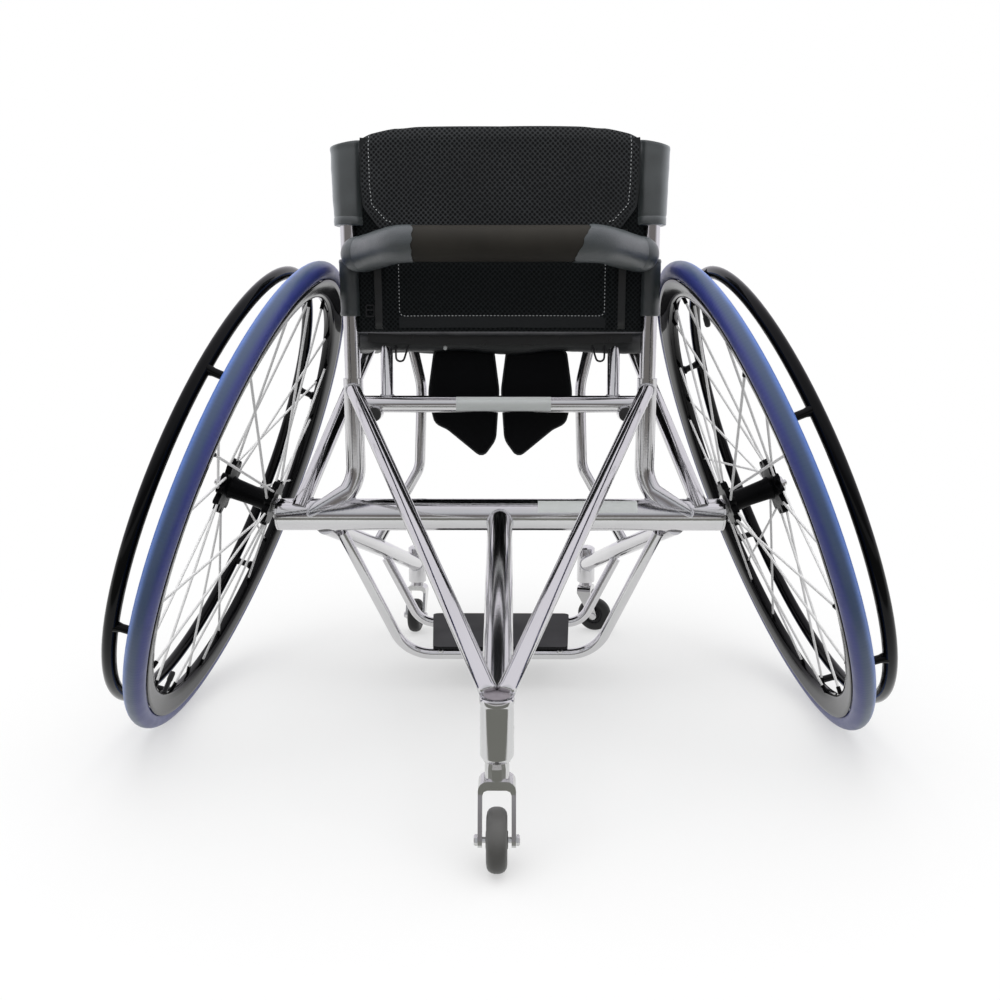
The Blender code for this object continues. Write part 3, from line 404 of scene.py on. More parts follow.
def make_materials():
    """Every finish. The numbers stand in the order that plain_finish, mesh_fabric and vinyl name them."""
    near_black = (0.003, 0.003, 0.0035)
    plain_finish("polished", (0.66, 0.655, 0.665), 0.11, 1.0, 0.05, 9.0, 0.03, 0.10, 420.0, 0.0003,
                 drawn=1.6)
    plain_finish("satin", (0.64, 0.635, 0.64), 0.15, 1.0, 0.05, 24.0, 0.03, 0.05, 1400.0)
    plain_finish("weld", (0.66, 0.66, 0.68), 0.24, 1.0, 0.12, 160.0, 0.06, 0.12, 500.0)
    plain_finish("gloss_black", near_black, 0.07, 0.0, 0.2, 15.0, 0.03, 0.02, 500.0, specular=0.14)
    plain_finish("hub_black", near_black, 0.30, 0.0, 0.2, 30.0, 0.05, 0.05, 700.0, specular=0.05)
    plain_finish("white_spoke", (0.95, 0.95, 0.95), 0.30, 0.0, 0.02, 40.0, 0.05, 0.05, 800.0)
    plain_finish("rubber", (0.034, 0.034, 0.034), 0.50, 0.0, 0.25, 35.0, 0.08, 0.30, 900.0, specular=0.35)
    plain_finish("roller", (0.105, 0.104, 0.100), 0.42, 0.0, 0.20, 35.0, 0.08, 0.30, 900.0)
    plain_finish("nylon", (0.018, 0.018, 0.020), 0.42, 0.0, 0.2, 35.0, 0.06, 0.10, 900.0, specular=0.3)
    plain_finish("foam", (0.034, 0.031, 0.026), 0.60, 0.0, 0.25, 18.0, 0.06, 0.30, 1500.0, specular=0.16)
    plain_finish("thread", (0.62, 0.64, 0.65), 0.70, 0.0, 0.15, 300.0, 0.05, 0.2, 2500.0)
    plain_finish("label", (0.76, 0.79, 0.78), 0.40, 0.2, 0.03, 40.0, 0.04, 0.05, 900.0)
    plain_finish("pale_label", (0.84, 0.87, 0.86), 0.35, 0.0, 0.03, 40.0, 0.04, 0.05, 900.0)
    plain_finish("cap", (0.26, 0.235, 0.26), 0.35, 0.0, 0.06, 60.0, 0.04, 0.05, 900.0)
    plain_finish("flap_cloth", (0.0045, 0.0048, 0.0055), 0.80, 0.0, 0.3, 25.0, 0.05, 0.4, 1600.0,
                 specular=0.1)
    mesh_fabric("mesh", (0.0030, 0.0038, 0.0042), (0.017, 0.020, 0.021))
    mesh_fabric("cover_mesh", (0.0080, 0.0085, 0.0090), (0.052, 0.055, 0.058))
    # The vinyl, lower_vinyl and wrap finishes end with their share of painted sheen, a pale colour painted
    # where the cloth turns away.
    vinyl("vinyl", (0.054, 0.064, 0.066), 0.40, 0.25, 1.0, 1.0, 0.75)
    vinyl("lower_vinyl", (0.020, 0.027, 0.029), 0.40, 0.35, 0.8, 0.5, 0.15)
    vinyl("binding", (0.007, 0.009, 0.010), 0.40, 0.30, 0.5)
    vinyl("hem", (0.008, 0.010, 0.011), 0.55, 0.35, 0.35)
    vinyl("strap", (0.009, 0.011, 0.012), 0.30, 0.12, 0.7)
    vinyl("wrap", (0.023, 0.033, 0.037), 0.38, 0.60, 1.0, 0.5, 0.12)
    tyre_finish()
    plate_finish()


def show(name, mesh, material, body, nodes=(), sharp=40.0):
    """Puts a finished mesh in the scene, in place, riding on its body."""
    mesh.name = name
    mesh.materials.clear()
    mesh.materials.append(MATERIALS[material])
    mesh.shade_smooth()
    mesh.set_sharp_from_angle(angle=math.radians(sharp))
    piece = bpy.data.objects.new(name, mesh)
    bpy.context.scene.collection.objects.link(piece)
    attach(piece, body)
    if nodes:
        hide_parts(*nodes)
    return piece


def to_mesh(shape):
    """The plain mesh of a finished shape, with its faces turned outwards."""
    bmesh.ops.recalc_face_normals(shape, faces=shape.faces)
    mesh = bpy.data.meshes.new("mesh")
    shape.to_mesh(mesh)
    shape.free()
    return mesh


def loft(shape, uv, rings, closed):
    """Joins rings of equal length by quads, with fan caps on open ends."""
    count = len(rings[0])
    rows = [[shape.verts.new(place) for place in ring] for ring in rings]
    spans = len(rows) if closed else len(rows) - 1
    for row in range(spans):
        first, second = rows[row], rows[(row + 1) % len(rows)]
        for index in range(count):
            after = (index + 1) % count
            face = shape.faces.new((first[index], first[after], second[after], second[index]))
            corners = ((row, index), (row, index + 1), (row + 1, index + 1), (row + 1, index))
            for loop, (along, across) in zip(face.loops, corners):
                loop[uv].uv = (along / spans, across / count)
    if closed:
        return
    for ring in (rows[0], rows[-1]):
        centre = shape.verts.new(sum((vert.co for vert in ring), Vector()) / count)
        for index in range(count):
            shape.faces.new((ring[index], ring[(index + 1) % count], centre))


def mesh_of(*skins):
    """One mesh of some skins, each given as its rings and whether the last joins the first."""
    shape = bmesh.new()
    uv = shape.loops.layers.uv.new("profile")
    for rings, closed in skins:
        loft(shape, uv, rings, closed)
    return to_mesh(shape)


def on_circle(radius, angle, height=0.0):
    """A place on a circle round local Z."""
    return Vector((radius * math.cos(angle), radius * math.sin(angle), height))


def turned(profile, steps, place, warp=None):
    """A closed ring profile turned about local Z, as a skin."""
    rings = []
    for step in range(steps):
        angle = math.tau * step / steps
        rings.append([place @ on_circle(warp(angle, radius, height) if warp else radius, angle, height)
                      for radius, height in profile])
    return rings, True


def knob(profile, sides, place):
    """A solid turned about local Z from a profile that starts and ends near the axis, as a skin."""
    rings = [[place @ on_circle(radius, math.tau * side / sides, height) for side in range(sides)]
             for radius, height in profile]
    return rings, False


def both_halves(half):
    """A wheel's whole profile, from the half above its middle plane."""
    return half + [(radius, -height) for radius, height in reversed(half)]


def rounded_route(corners, radii, steps, closed=False):
    """Straight runs through the corners, joined by arcs of one radius or of a radius each."""
    corners = [Vector(corner) for corner in corners]
    count = len(corners)
    route = []
    for index, corner in enumerate(corners):
        if not closed and index in (0, count - 1):
            route.append(corner)
            continue
        radius = radii if isinstance(radii, float) else radii[index if closed else index - 1]
        before = (corners[index - 1] - corner).normalized()
        after = (corners[(index + 1) % count] - corner).normalized()
        turn = math.pi - before.angle(after)
        start = corner + before * radius * math.tan(turn / 2)
        centre = corner + (before + after).normalized() * radius / math.cos(turn / 2)
        spoke = start - centre
        hinge = (-before).cross(after).normalized()
        for step in range(steps + 1):
            route.append(centre + Matrix.Rotation(turn * step / steps, 3, hinge) @ spoke)
    return route


def resampled(route, pitch, closed=False):
    """The same path with points a given distance apart."""
    route = [Vector(place) for place in route]
    if closed:
        route.append(route[0])
    lengths = [(second - first).length for first, second in zip(route, route[1:])]
    total = sum(lengths)
    count = max(2, round(total / pitch))
    places = []
    walked, index = 0.0, 0
    for step in range(count if closed else count + 1):
        target = total * step / count
        while index < len(lengths) - 1 and walked + lengths[index] < target:
            walked += lengths[index]
            index += 1
        share = (target - walked) / max(lengths[index], 1e-9)
        places.append(route[index].lerp(route[index + 1], min(1.0, share)))
    return places


def swept(route, section, closed=False, up=(0, 0, 1), swell=None):
    """Rings of (side, up) offsets along a route, kept upright to a given direction, as a skin."""
    rings = []
    count = len(route)
    for index, place in enumerate(route):
        ahead = route[(index + 1) % count] if closed else route[min(index + 1, count - 1)]
        behind = route[index - 1] if closed or index else route[0]
        forward = (ahead - behind).normalized()
        side = forward.cross(Vector(up)).normalized()
        top = side.cross(forward).normalized()
        size = swell(index / (count - 1), place) if swell else 1.0
        rings.append([place + (side * across + top * above) * size for across, above in section])
    return rings, closed


def circle(radius, sides):
    """A round section."""
    angles = [math.tau * side / sides for side in range(sides)]
    return [(radius * math.cos(angle), radius * math.sin(angle)) for angle in angles]


def flat_section(width, thick):
    """A strap's section with eased corners."""
    a, b = width / 2, thick / 2
    return [(a, -b * 0.5), (a, b * 0.5), (a * 0.94, b), (-a * 0.94, b), (-a, b * 0.5), (-a, -b * 0.5),
            (-a * 0.94, -b), (a * 0.94, -b)]


def superellipse(half_x, half_y, power, sides):
    """A section between an oval and a rounded box."""
    points = []
    for c, s in circle(1.0, sides):
        reach = (abs(c) ** power + abs(s) ** power) ** (-1 / power)
        points.append((half_x * reach * c, half_y * reach * s))
    return points


def tube_rings(route, radius, sides=40):
    """Round rings square to a route, turned as little as possible from one to the next."""
    rings = []
    side = (route[1] - route[0]).orthogonal().normalized()
    last = len(route) - 1
    for index, place in enumerate(route):
        forward = (route[min(index + 1, last)] - route[max(index - 1, 0)]).normalized()
        side = (side - forward * side.dot(forward)).normalized()
        top = forward.cross(side)
        rings.append([place + side * x + top * y for x, y in circle(radius, sides)])
    return rings


def middle_of(ring):
    """The middle of a ring of places."""
    return sum(ring, Vector()) / len(ring)


def domed(rings, depth):
    """Closes a tube's last end with a low dome."""
    centre = middle_of(rings[-1])
    forward = (centre - middle_of(rings[-2])).normalized()
    cap = []
    for degrees in (25, 48, 68, 84):
        angle = math.radians(degrees)
        cap.append([centre + (place - centre) * math.cos(angle) + forward * depth * math.sin(angle)
                    for place in rings[-1]])
    return rings + cap


def bored(rings, depth, share):
    """Carries a tube's last rings back down its own inside, to make an open mouth."""
    inner = []
    for ring in reversed(rings[-depth:]):
        centre = middle_of(ring)
        inner.append([centre + (place - centre) * share for place in ring])
    return rings + inner


def mirrored(points, side):
    """Places of the right side, carried to a given side."""
    return [Vector((side * x, y, z)) for x, y, z in points]


def start_tree(name, sockets):
    """An empty Geometry Nodes tree with a number input for each socket."""
    tree = bpy.data.node_groups.new(name, "GeometryNodeTree")
    tree.interface.new_socket("Geometry", in_out="INPUT", socket_type="NodeSocketGeometry")
    for label, value in sockets.items():
        item = tree.interface.new_socket(label, in_out="INPUT", socket_type="NodeSocketFloat")
        item.default_value = value
    tree.interface.new_socket("Material", in_out="INPUT", socket_type="NodeSocketMaterial")
    tree.interface.new_socket("Geometry", in_out="OUTPUT", socket_type="NodeSocketGeometry")
    web = Web(tree)
    return web, web.add("NodeGroupInput").outputs


def end_tree(web, geometry, inputs):
    """Makes the instances real, gives them their material and returns the tree."""
    solid = web.add("GeometryNodeRealizeInstances", {0: geometry}).outputs[0]
    coloured = web.add("GeometryNodeSetMaterial", {"Geometry": solid, "Material": inputs["Material"]})
    web.add("NodeGroupOutput", {0: coloured.outputs[0]})
    return web.tree


def set_on_points(web, points, form, direction, width, length):
    """A form on every point, its Z along a direction, scaled by a width and a length."""
    aim = web.add("FunctionNodeAlignRotationToVector", {"Vector": direction}, axis="Z").outputs[0]
    size = web.add("ShaderNodeCombineXYZ", {"X": width, "Y": width, "Z": length}).outputs[0]
    return web.add("GeometryNodeInstanceOnPoints", {
        "Points": points, "Instance": form, "Rotation": aim, "Scale": size}).outputs[0]


def rod_tree():
    """A round rod along every edge path."""
    web, inputs = start_tree("rods", {"Radius": 0.001})
    path = web.add("GeometryNodeMeshToCurve", {0: inputs["Geometry"]}).outputs[0]
    ring = web.add("GeometryNodeCurvePrimitiveCircle", {"Resolution": 8, "Radius": inputs["Radius"]})
    rods = web.add("GeometryNodeCurveToMesh", {
        "Curve": path, "Profile Curve": ring.outputs[0], "Fill Caps": True})
    return end_tree(web, rods.outputs[0], inputs)


def bead_tree():
    """Small rounded beads set end to end along every edge path."""
    web, inputs = start_tree("beads", {"Pitch": 0.003, "Length": 0.002, "Width": 0.001})
    path = web.add("GeometryNodeMeshToCurve", {0: inputs["Geometry"]}).outputs[0]
    spaced = web.add("GeometryNodeResampleCurve", {"Curve": path, "Length": inputs["Pitch"]}, mode="LENGTH")
    bead = web.add("GeometryNodeMeshUVSphere", {"Segments": 8, "Rings": 6, "Radius": 0.5}).outputs[0]
    tangent = web.add("GeometryNodeInputTangent").outputs[0]
    beads = set_on_points(web, spaced.outputs[0], bead, tangent, inputs["Width"], inputs["Length"])
    return end_tree(web, beads, inputs)


def head_tree():
    """Socket-head screws at every point, facing along the point's own direction."""
    web, inputs = start_tree("screw_heads", {"Radius": 0.004, "Height": 0.003})
    head = web.add("GeometryNodeMeshCone", {
        "Vertices": 20, "Radius Top": 0.82, "Radius Bottom": 1.0, "Depth": 1.0}).outputs[0]
    socket = web.add("GeometryNodeMeshCylinder", {"Vertices": 6, "Radius": 0.48, "Depth": 1.2}).outputs[0]
    raised = web.add("GeometryNodeTransform", {"Geometry": socket, "Translation": (0, 0, 1.0)}).outputs[0]
    holed = web.add("GeometryNodeMeshBoolean", {"Mesh 1": head, "Mesh 2": raised},
                    operation="DIFFERENCE", solver="EXACT").outputs[0]
    facing = web.add("GeometryNodeInputNamedAttribute", {"Name": "facing"}, data_type="FLOAT_VECTOR")
    heads = set_on_points(
        web, inputs["Geometry"], holed, facing.outputs[0], inputs["Radius"], inputs["Height"])
    return end_tree(web, heads, inputs)


def path_skeleton(paths):
    """A mesh of edge paths, each a list of places and whether it closes."""
    mesh = bpy.data.meshes.new("skeleton")
    places, edges = [], []
    for path, closed in paths:
        first = len(places)
        places += [tuple(place) for place in path]
        edges += [(first + i, first + i + 1) for i in range(len(path) - 1)]
        if closed:
            edges.append((len(places) - 1, first))
    mesh.from_pydata(places, edges, [])
    return mesh


def point_skeleton(points):
    """A mesh of loose points, each with the direction that it faces."""
    mesh = bpy.data.meshes.new("skeleton")
    mesh.from_pydata([tuple(place) for place, facing in points], [], [])
    facings = mesh.attributes.new("facing", "FLOAT_VECTOR", "POINT")
    directions = [Vector(facing).normalized() for place, facing in points]
    facings.data.foreach_set("vector", [value for direction in directions for value in direction])
    return mesh


def grow(name, skeleton, tree_name, material, body, nodes=(), **values):
    """Shows the plain mesh that a node tree makes of a skeleton."""
    host = bpy.data.objects.new("host", skeleton)
    bpy.context.scene.collection.objects.link(host)
    modifier = host.modifiers.new("grow", "NODES")
    modifier.node_group = TREES[tree_name]
    values["Material"] = MATERIALS[material]
    for item in modifier.node_group.interface.items_tree:
        if item.in_out == "INPUT" and item.name in values:
            modifier[item.identifier] = values[item.name]
    graph = bpy.context.evaluated_depsgraph_get()
    mesh = bpy.data.meshes.new_from_object(host.evaluated_get(graph))
    bpy.data.objects.remove(host)
    bpy.data.meshes.remove(skeleton)
    show(name, mesh, material, body, nodes)


def joint_place(name, near):
    """A joint's own axes in the frame, with Z along its axis."""
    joint = JOINTS[name]
    outboard = Vector(joint["axis"]).normalized()
    across = Vector(near).cross(outboard).normalized()
    turn = Matrix((across, outboard.cross(across), outboard)).transposed().to_4x4()
    return Matrix.Translation(joint["pos_m"]) @ turn


def wheel_place(side_name):
    """The wheel's own axes, from its joint: Z outboard along the axle, Y forwards."""
    return joint_place(f"wheel_roll_{side_name}", (0, 1, 0))


def stood(foot, direction):
    """Axes at a place with Z along a direction."""
    return Matrix.Translation(foot) @ direction.to_track_quat("Z", "Y").to_matrix().to_4x4()


def build_tyre(side_name, steps):
    """A round tubular tyre."""
    profile = [(TYRE_OUTER_R - TYRE_SECTION_R + x, y) for x, y in circle(TYRE_SECTION_R, 36)]
    mesh = mesh_of(turned(profile, steps, wheel_place(side_name)))
    show(f"tyre_{side_name}_skin", mesh, "tyre", f"wheel_{side_name}", [f"tyre_{side_name}"])


def build_rim(side_name, steps):
    """A deep box rim with rounded bead hooks and a narrow inner edge."""
    profile = both_halves([
        (0.2946, 0.0040), (0.2975, 0.0090), (0.2996, 0.0100), (0.3006, 0.0107), (0.3004, 0.0114),
        (0.2990, 0.0117), (0.2950, 0.0110), (0.2890, 0.0100), (0.2820, 0.0087), (0.2772, 0.0072),
        (0.2748, 0.0050), (0.2740, 0.0022)])
    mesh = mesh_of(turned(profile, steps, wheel_place(side_name)))
    show(f"rim_{side_name}_shell", mesh, "gloss_black", f"wheel_{side_name}", [f"rim_{side_name}"])


def build_valve(side_name):
    """The tyre's valve, which stands inwards from the rim."""
    place = wheel_place(side_name)
    inward = (place.to_3x3() @ on_circle(-1.0, VALVE_TURN)).normalized()
    seat = place @ on_circle(RIM_INNER_R + 0.001, VALVE_TURN)
    profile = [(0.0001, -0.001), (0.0045, -0.001), (0.0045, 0.0016), (0.0031, 0.0022), (0.0031, 0.016),
               (0.0037, 0.017), (0.0037, 0.026), (0.0026, 0.0285), (0.0001, 0.029)]
    mesh = mesh_of(knob(profile, 14, stood(seat, inward)))
    show(f"tyre_valve_{side_name}", mesh, "nylon", f"wheel_{side_name}")


def build_handrim(side_name, steps):
    """A round handrim on short waisted tabs."""
    place = wheel_place(side_name)
    profile = [(HANDRIM_R + x, HANDRIM_OFFSET + y) for x, y in circle(HANDRIM_SECTION_R, 18)]
    skins = [turned(profile, steps, place)]
    for index in range(HANDRIM_TABS):
        angle = math.tau * index / HANDRIM_TABS + HANDRIM_TAB_TURN
        foot = place @ on_circle(HANDRIM_TAB_FOOT_R, angle, HANDRIM_TAB_FOOT_Z)
        axis = place @ on_circle(HANDRIM_R, angle, HANDRIM_OFFSET - 0.004) - foot
        length = axis.length
        tab = [(0.0001, 0.0), (0.0066, 0.0), (0.0066, 0.0018), (0.0052, 0.0032), (0.0048, 0.0060),
               (0.0048, length - 0.0075), (0.0058, length - 0.0035), (0.0070, length)]
        skins.append(knob(tab, 20, stood(foot, axis)))
    show(f"handrim_{side_name}_ring", mesh_of(*skins), "gloss_black", f"wheel_{side_name}",
         [f"handrim_{side_name}"])


def spoke_ends(flange_r, flange_z, offset):
    """Start and end of each spoke of one flange, in the wheel's axes."""
    ends = []
    for index in range(SPOKES_A_FLANGE):
        way = 1 if index % 2 else -1
        angle = math.tau * index / SPOKES_A_FLANGE + offset
        start = on_circle(flange_r - 0.004, angle, flange_z + way * SPOKE_STAGGER)
        end_z = math.copysign(0.0012, flange_z) + way * SPOKE_STAGGER
        ends.append((start, on_circle(RIM_INNER_R + 0.0005, angle + way * SPOKE_LEAN, end_z)))
    return ends


def scallop(angle, radius, height):
    """Draws a hub flange in between its spokes, so that each spoke has an ear of its own."""
    if radius < 0.0262:
        return radius
    offset = 0.0 if height > 0 else math.pi
    valley = 0.5 - 0.5 * math.cos(SPOKES_A_FLANGE * angle + offset)
    return radius + 0.0010 - (radius - 0.0225) * 0.62 * valley ** 1.6


def build_hub(side_name, settings):
    """A turned shell with scalloped flanges, its spokes and their nipples."""
    place = wheel_place(side_name)
    body = f"wheel_{side_name}"
    nodes = [f"spoked_hub_{side_name}"]
    top, foot, thick = HUB_OUTER_Z, HUB_INNER_Z, HUB_FLANGE_THICK
    profile = [
        (HUB_BORE_R, top + 0.0040), (0.0112, top + 0.0040), (0.0122, top + 0.0034), (0.0132, top + 0.0010),
        (0.0150, top), (0.0250, top), (0.0260, top - 0.0006), (HUB_OUTER_FLANGE_R - 0.0008, top - 0.0006),
        (HUB_OUTER_FLANGE_R, top - 0.0014), (HUB_OUTER_FLANGE_R, top - thick + 0.0008),
        (HUB_OUTER_FLANGE_R - 0.0008, top - thick), (0.0250, top - thick), (0.0190, top - thick - 0.0016),
        (0.0160, top - 0.0105), (0.0140, top - 0.0160), (0.0128, -0.0060), (0.0136, -0.0200),
        (0.0150, foot + 0.0100), (0.0175, foot + thick + 0.0012), (0.0210, foot + thick),
        (HUB_INNER_FLANGE_R - 0.0008, foot + thick), (HUB_INNER_FLANGE_R, foot + thick - 0.0008),
        (HUB_INNER_FLANGE_R, foot + 0.0008), (HUB_INNER_FLANGE_R - 0.0008, foot), (0.0120, foot),
        (HUB_BORE_R, foot),
    ]
    shell = mesh_of(turned(profile, 96, place, scallop))
    show(f"hub_{side_name}_shell", shell, "hub_black", body, nodes)
    flanges = [(HUB_OUTER_FLANGE_R, top - thick / 2, 0.0),
               (HUB_INNER_FLANGE_R, foot + thick / 2, math.tau / SPOKES_A_FLANGE / 2)]
    lines, nipples = [], []
    for flange in flanges:
        for start, end in spoke_ends(*flange):
            toward = (start - end).normalized()
            lines.append(([place @ start, place @ end], False))
            nipples.append(([place @ (end - toward * 0.0006), place @ (end + toward * 0.0095)], False))
    grow(f"spokes_{side_name}", path_skeleton(lines), "rods", "white_spoke", body, nodes,
         Radius=settings.spoke_radius)
    grow(f"spoke_nipples_{side_name}", path_skeleton(nipples), "rods", "hub_black", body, nodes,
         Radius=settings.nipple_radius)


def caster_tyre(name, joint_name, body, node, radius, material="rubber"):
    """A rubber roller with a rounded tread on a nylon centre."""
    place = joint_place(joint_name, (0, 0, 1))
    half = CASTER_HALF_WIDTH
    tread = both_halves([
        (0.0150, half - 0.0012), (0.0165, half), (radius - 0.0085, half), (radius - 0.0050, half - 0.0006),
        (radius - 0.0022, half - 0.0024), (radius - 0.0007, half - 0.0050), (radius, half - 0.0078)])
    show(f"{name}_tread", mesh_of(turned(tread, 56, place)), material, body, [node])
    centre = both_halves([
        (0.0036, half + 0.0006), (0.0078, half + 0.0006), (0.0085, half), (0.0100, half - 0.0026),
        (0.0140, half - 0.0030), (0.0152, half - 0.0014)])
    show(f"{name}_centre", mesh_of(turned(centre, 40, place)), "nylon", body, [node])


def frame_tubes():
    """The rings of each frame tube, by the name of its CAD node."""
    lean = (RECEIVER_TOP_Z - RECEIVER_CORNER_Z) * math.tan(RECLINE)
    hoops = {
        "rear_foot_hoop": ((0.2125, 0.0200, 0.2450), (0.1340, REAR_HOOP_Y, HOOP_Z), 0.055),
        "front_foot_hoop": ((0.1810, FRONT_HOOP_Y, 0.1640), (0.1276, FRONT_HOOP_Y, HOOP_Z), 0.038),
    }
    tubes = {}

    def add(name, corners, radius, bends=None):
        """Adds a tube through its corners, with a bend radius for all or for each."""
        route = rounded_route(corners, bends, 24) if bends else corners
        tubes[name] = tube_rings(resampled(route, ROUTE_PITCH), radius)

    add("camber_tube", [(-0.2925, AXLE_Y, CAMBER_TUBE_Z), (0.2925, AXLE_Y, CAMBER_TUBE_Z)], CAMBER_TUBE_R)
    add("cross_bar", [(-POST_X, AXLE_Y, CROSS_BAR_Z), (POST_X, AXLE_Y, CROSS_BAR_Z)], SIDE_TUBE_R)
    add("centre_boom", [(0, AXLE_Y, CAMBER_TUBE_Z - 0.001), (0, ANTITIP_Y, 0.130)], BOOM_R)
    for name, (end, corner, bend) in hoops.items():
        add(name, mirrored([end, corner], -1.0) + mirrored([corner, end], 1.0), FOOT_TUBE_R, bend)
    for side_name, side in SIDES.items():
        add(f"back_post_{side_name}", [post_place(side, 0.368), post_place(side, 0.722)], POST_R)
        receiver = [(0.2640, AXLE_Y - 0.0040, CAMBER_TUBE_Z - 0.0030), (0.2380, AXLE_Y - 0.0130, 0.2780),
                    (POST_X, AXLE_Y + lean, RECEIVER_CORNER_Z), (POST_X, AXLE_Y, RECEIVER_TOP_Z)]
        add(f"receiver_{side_name}", mirrored(receiver, side), MAIN_TUBE_R, [0.050, 0.055])
        stay = [(0.1929, AXLE_Y, 0.4421), (0.0085, ANTITIP_Y + 0.0112, 0.1663)]
        add(f"v_stay_{side_name}", mirrored(stay, side), STAY_R)
        tubes[f"v_stay_{side_name}"] = domed(tubes[f"v_stay_{side_name}"], 0.004)
        side_tube = [(0.2640, -0.0045, 0.2817), (SEAT_HALF_WIDTH, 0.2220, SEAT_Z - 0.0020)]
        add(f"side_tube_{side_name}", mirrored(side_tube, side), SIDE_TUBE_R)
        strut = [(STRUT_X, AXLE_Y, CROSS_BAR_Z), (STRUT_X + 0.003, SEAT_REAR_Y, SEAT_Z)]
        add(f"rear_strut_{side_name}", mirrored(strut, side), LIGHT_TUBE_R)
        arm = [(0.2325, AXLE_Y, 0.2575), (0.1815, 0.2200, 0.1790), (STEM_X, STEM_Y, 0.1170)]
        add(f"caster_arm_{side_name}", mirrored(arm, side), MAIN_TUBE_R, 0.400)
        down = [(0.1920, DOWN_TUBE_Y, SEAT_Z), (0.1330, DOWN_TUBE_Y, SEAT_Z), (0.1180, DOWN_TUBE_Y, 0.4350),
                (0.1228, DOWN_TUBE_Y, 0.3130), (0.1900, DOWN_TUBE_Y, 0.1950)]
        add(f"front_down_tube_{side_name}", mirrored(down, side), LIGHT_TUBE_R, [0.016, 0.100, 0.045])
    return tubes


def build_housings():
    """Smooth barrels for the three caster stems, bored from below, over the plain packed ones."""
    top, foot = CASTER_BARREL_TOP_Z, CASTER_BARREL_FOOT_Z
    barrels = {"antitip_housing": ((0, ANTITIP_Y), [
        (0.0001, 0.1660), (0.0153, 0.1660), (0.0162, 0.1657), (0.0168, 0.1648), (0.0168, 0.1600),
        (0.0165, 0.1590), (0.0161, 0.1584), (0.0160, 0.1570), (0.0160, 0.1075), (0.0157, 0.1066),
        (0.0134, 0.1028), (0.0128, 0.1025), (0.0106, 0.1025), (0.0106, 0.1560), (0.0001, 0.1560)])}
    for side_name, side in SIDES.items():
        barrels[f"caster_housing_{side_name}"] = ((side * STEM_X, STEM_Y), [
            (0.0001, top), (0.0098, top), (0.0108, top - 0.0003), (BARREL_R - 0.0004, top - 0.0032),
            (BARREL_R, top - 0.0042), (BARREL_R, foot + 0.0014), (BARREL_R - 0.0004, foot + 0.0004),
            (BARREL_R - 0.0012, foot), (0.0106, foot), (0.0106, top - 0.0100), (0.0001, top - 0.0100)])
    for name, (place, profile) in barrels.items():
        mesh = mesh_of(knob(profile, 48, Matrix.Translation((*place, 0))))
        show(f"{name}_smooth", mesh, "polished", "frame", [name], 35.0)


def frame_joints():
    """Each welded tube end: the tube, which of its ends, and the other tube as start, end and radius."""
    camber = ((-0.29, AXLE_Y, CAMBER_TUBE_Z), (0.29, AXLE_Y, CAMBER_TUBE_Z), CAMBER_TUBE_R)
    housing = ((0, ANTITIP_Y, 0.1), (0, ANTITIP_Y, 0.166), ANTITIP_BARREL_R)
    bar = ((-POST_X, AXLE_Y, CROSS_BAR_Z), (POST_X, AXLE_Y, CROSS_BAR_Z), SIDE_TUBE_R)
    joints = [("centre_boom", 0, camber), ("centre_boom", 1, housing)]
    for side_name, side in SIDES.items():
        members = [
            (POST_X, AXLE_Y + 0.008, RECEIVER_CORNER_Z), (POST_X, AXLE_Y, RECEIVER_TOP_Z),
            (0.2325, AXLE_Y, 0.2575), (0.1815, 0.22, 0.179), (STEM_X, STEM_Y, 0.117),
            (STEM_X, STEM_Y, 0.08), (STEM_X, STEM_Y, 0.15)]
        corner, mouth, arm_root, arm_bend, arm_tip, foot, top = [(side * x, y, z) for x, y, z in members]
        receiver = (corner, mouth, MAIN_TUBE_R)
        high_arm = (arm_root, arm_bend, MAIN_TUBE_R)
        low_arm = (arm_bend, arm_tip, MAIN_TUBE_R)
        half = 0 if side < 0 else 1
        joints += [
            (f"receiver_{side_name}", 0, camber), (f"v_stay_{side_name}", 0, receiver),
            (f"v_stay_{side_name}", 1, housing), (f"side_tube_{side_name}", 0, camber),
            ("cross_bar", half, receiver), (f"rear_strut_{side_name}", 0, bar),
            (f"caster_arm_{side_name}", 0, camber), (f"caster_arm_{side_name}", 1, (foot, top, BARREL_R)),
            (f"front_down_tube_{side_name}", 1, high_arm), ("rear_foot_hoop", half, high_arm),
            ("front_foot_hoop", half, low_arm),
        ]
    return joints


def meeting(rings, end, other):
    """For each line along a tube's skin, its last ring outside another tube and where it runs in."""
    base, tip, radius = Vector(other[0]), Vector(other[1]), other[2] + 0.0002
    line = (tip - base).normalized()
    length = (tip - base).length

    def depth(place):
        """The distance outside the other tube's skin, or 1 past its ends."""
        apart = place - base
        reach = apart.dot(line)
        return (apart - line * reach).length - radius if -0.002 < reach < length + 0.002 else 1.0

    half = len(rings) // 2
    order = range(half, len(rings)) if end else range(half, -1, -1)
    found = []
    for column in range(len(rings[0])):
        hit = None
        for index, after in zip(order, order[1:]):
            high, low = depth(rings[index][column]), depth(rings[after][column])
            if low < 0 <= high < 1.0:
                hit = (index, rings[index][column].lerp(rings[after][column], high / (high - low)))
                break
        found.append(hit)
    return found


def coped(rings, end, found):
    """Cuts a tube's end to the saddle where it meets the other tube."""
    saddle = [place for index, place in found]
    indices = [index for index, place in found]
    return rings[:min(indices) + 1] + [saddle] if end else [saddle] + rings[max(indices):]


def weld_runs(found):
    """The weld's path: a closed ring, or the runs where the skins do meet."""
    if all(found):
        return [([place for index, place in found], True)]
    if not any(found):
        return []
    gap = found.index(None)
    runs, run = [], []
    for hit in found[gap:] + found[:gap] + [None]:
        if hit:
            run.append(hit[1])
            continue
        if len(run) > 4:
            runs.append((run, False))
        run = []
    return runs


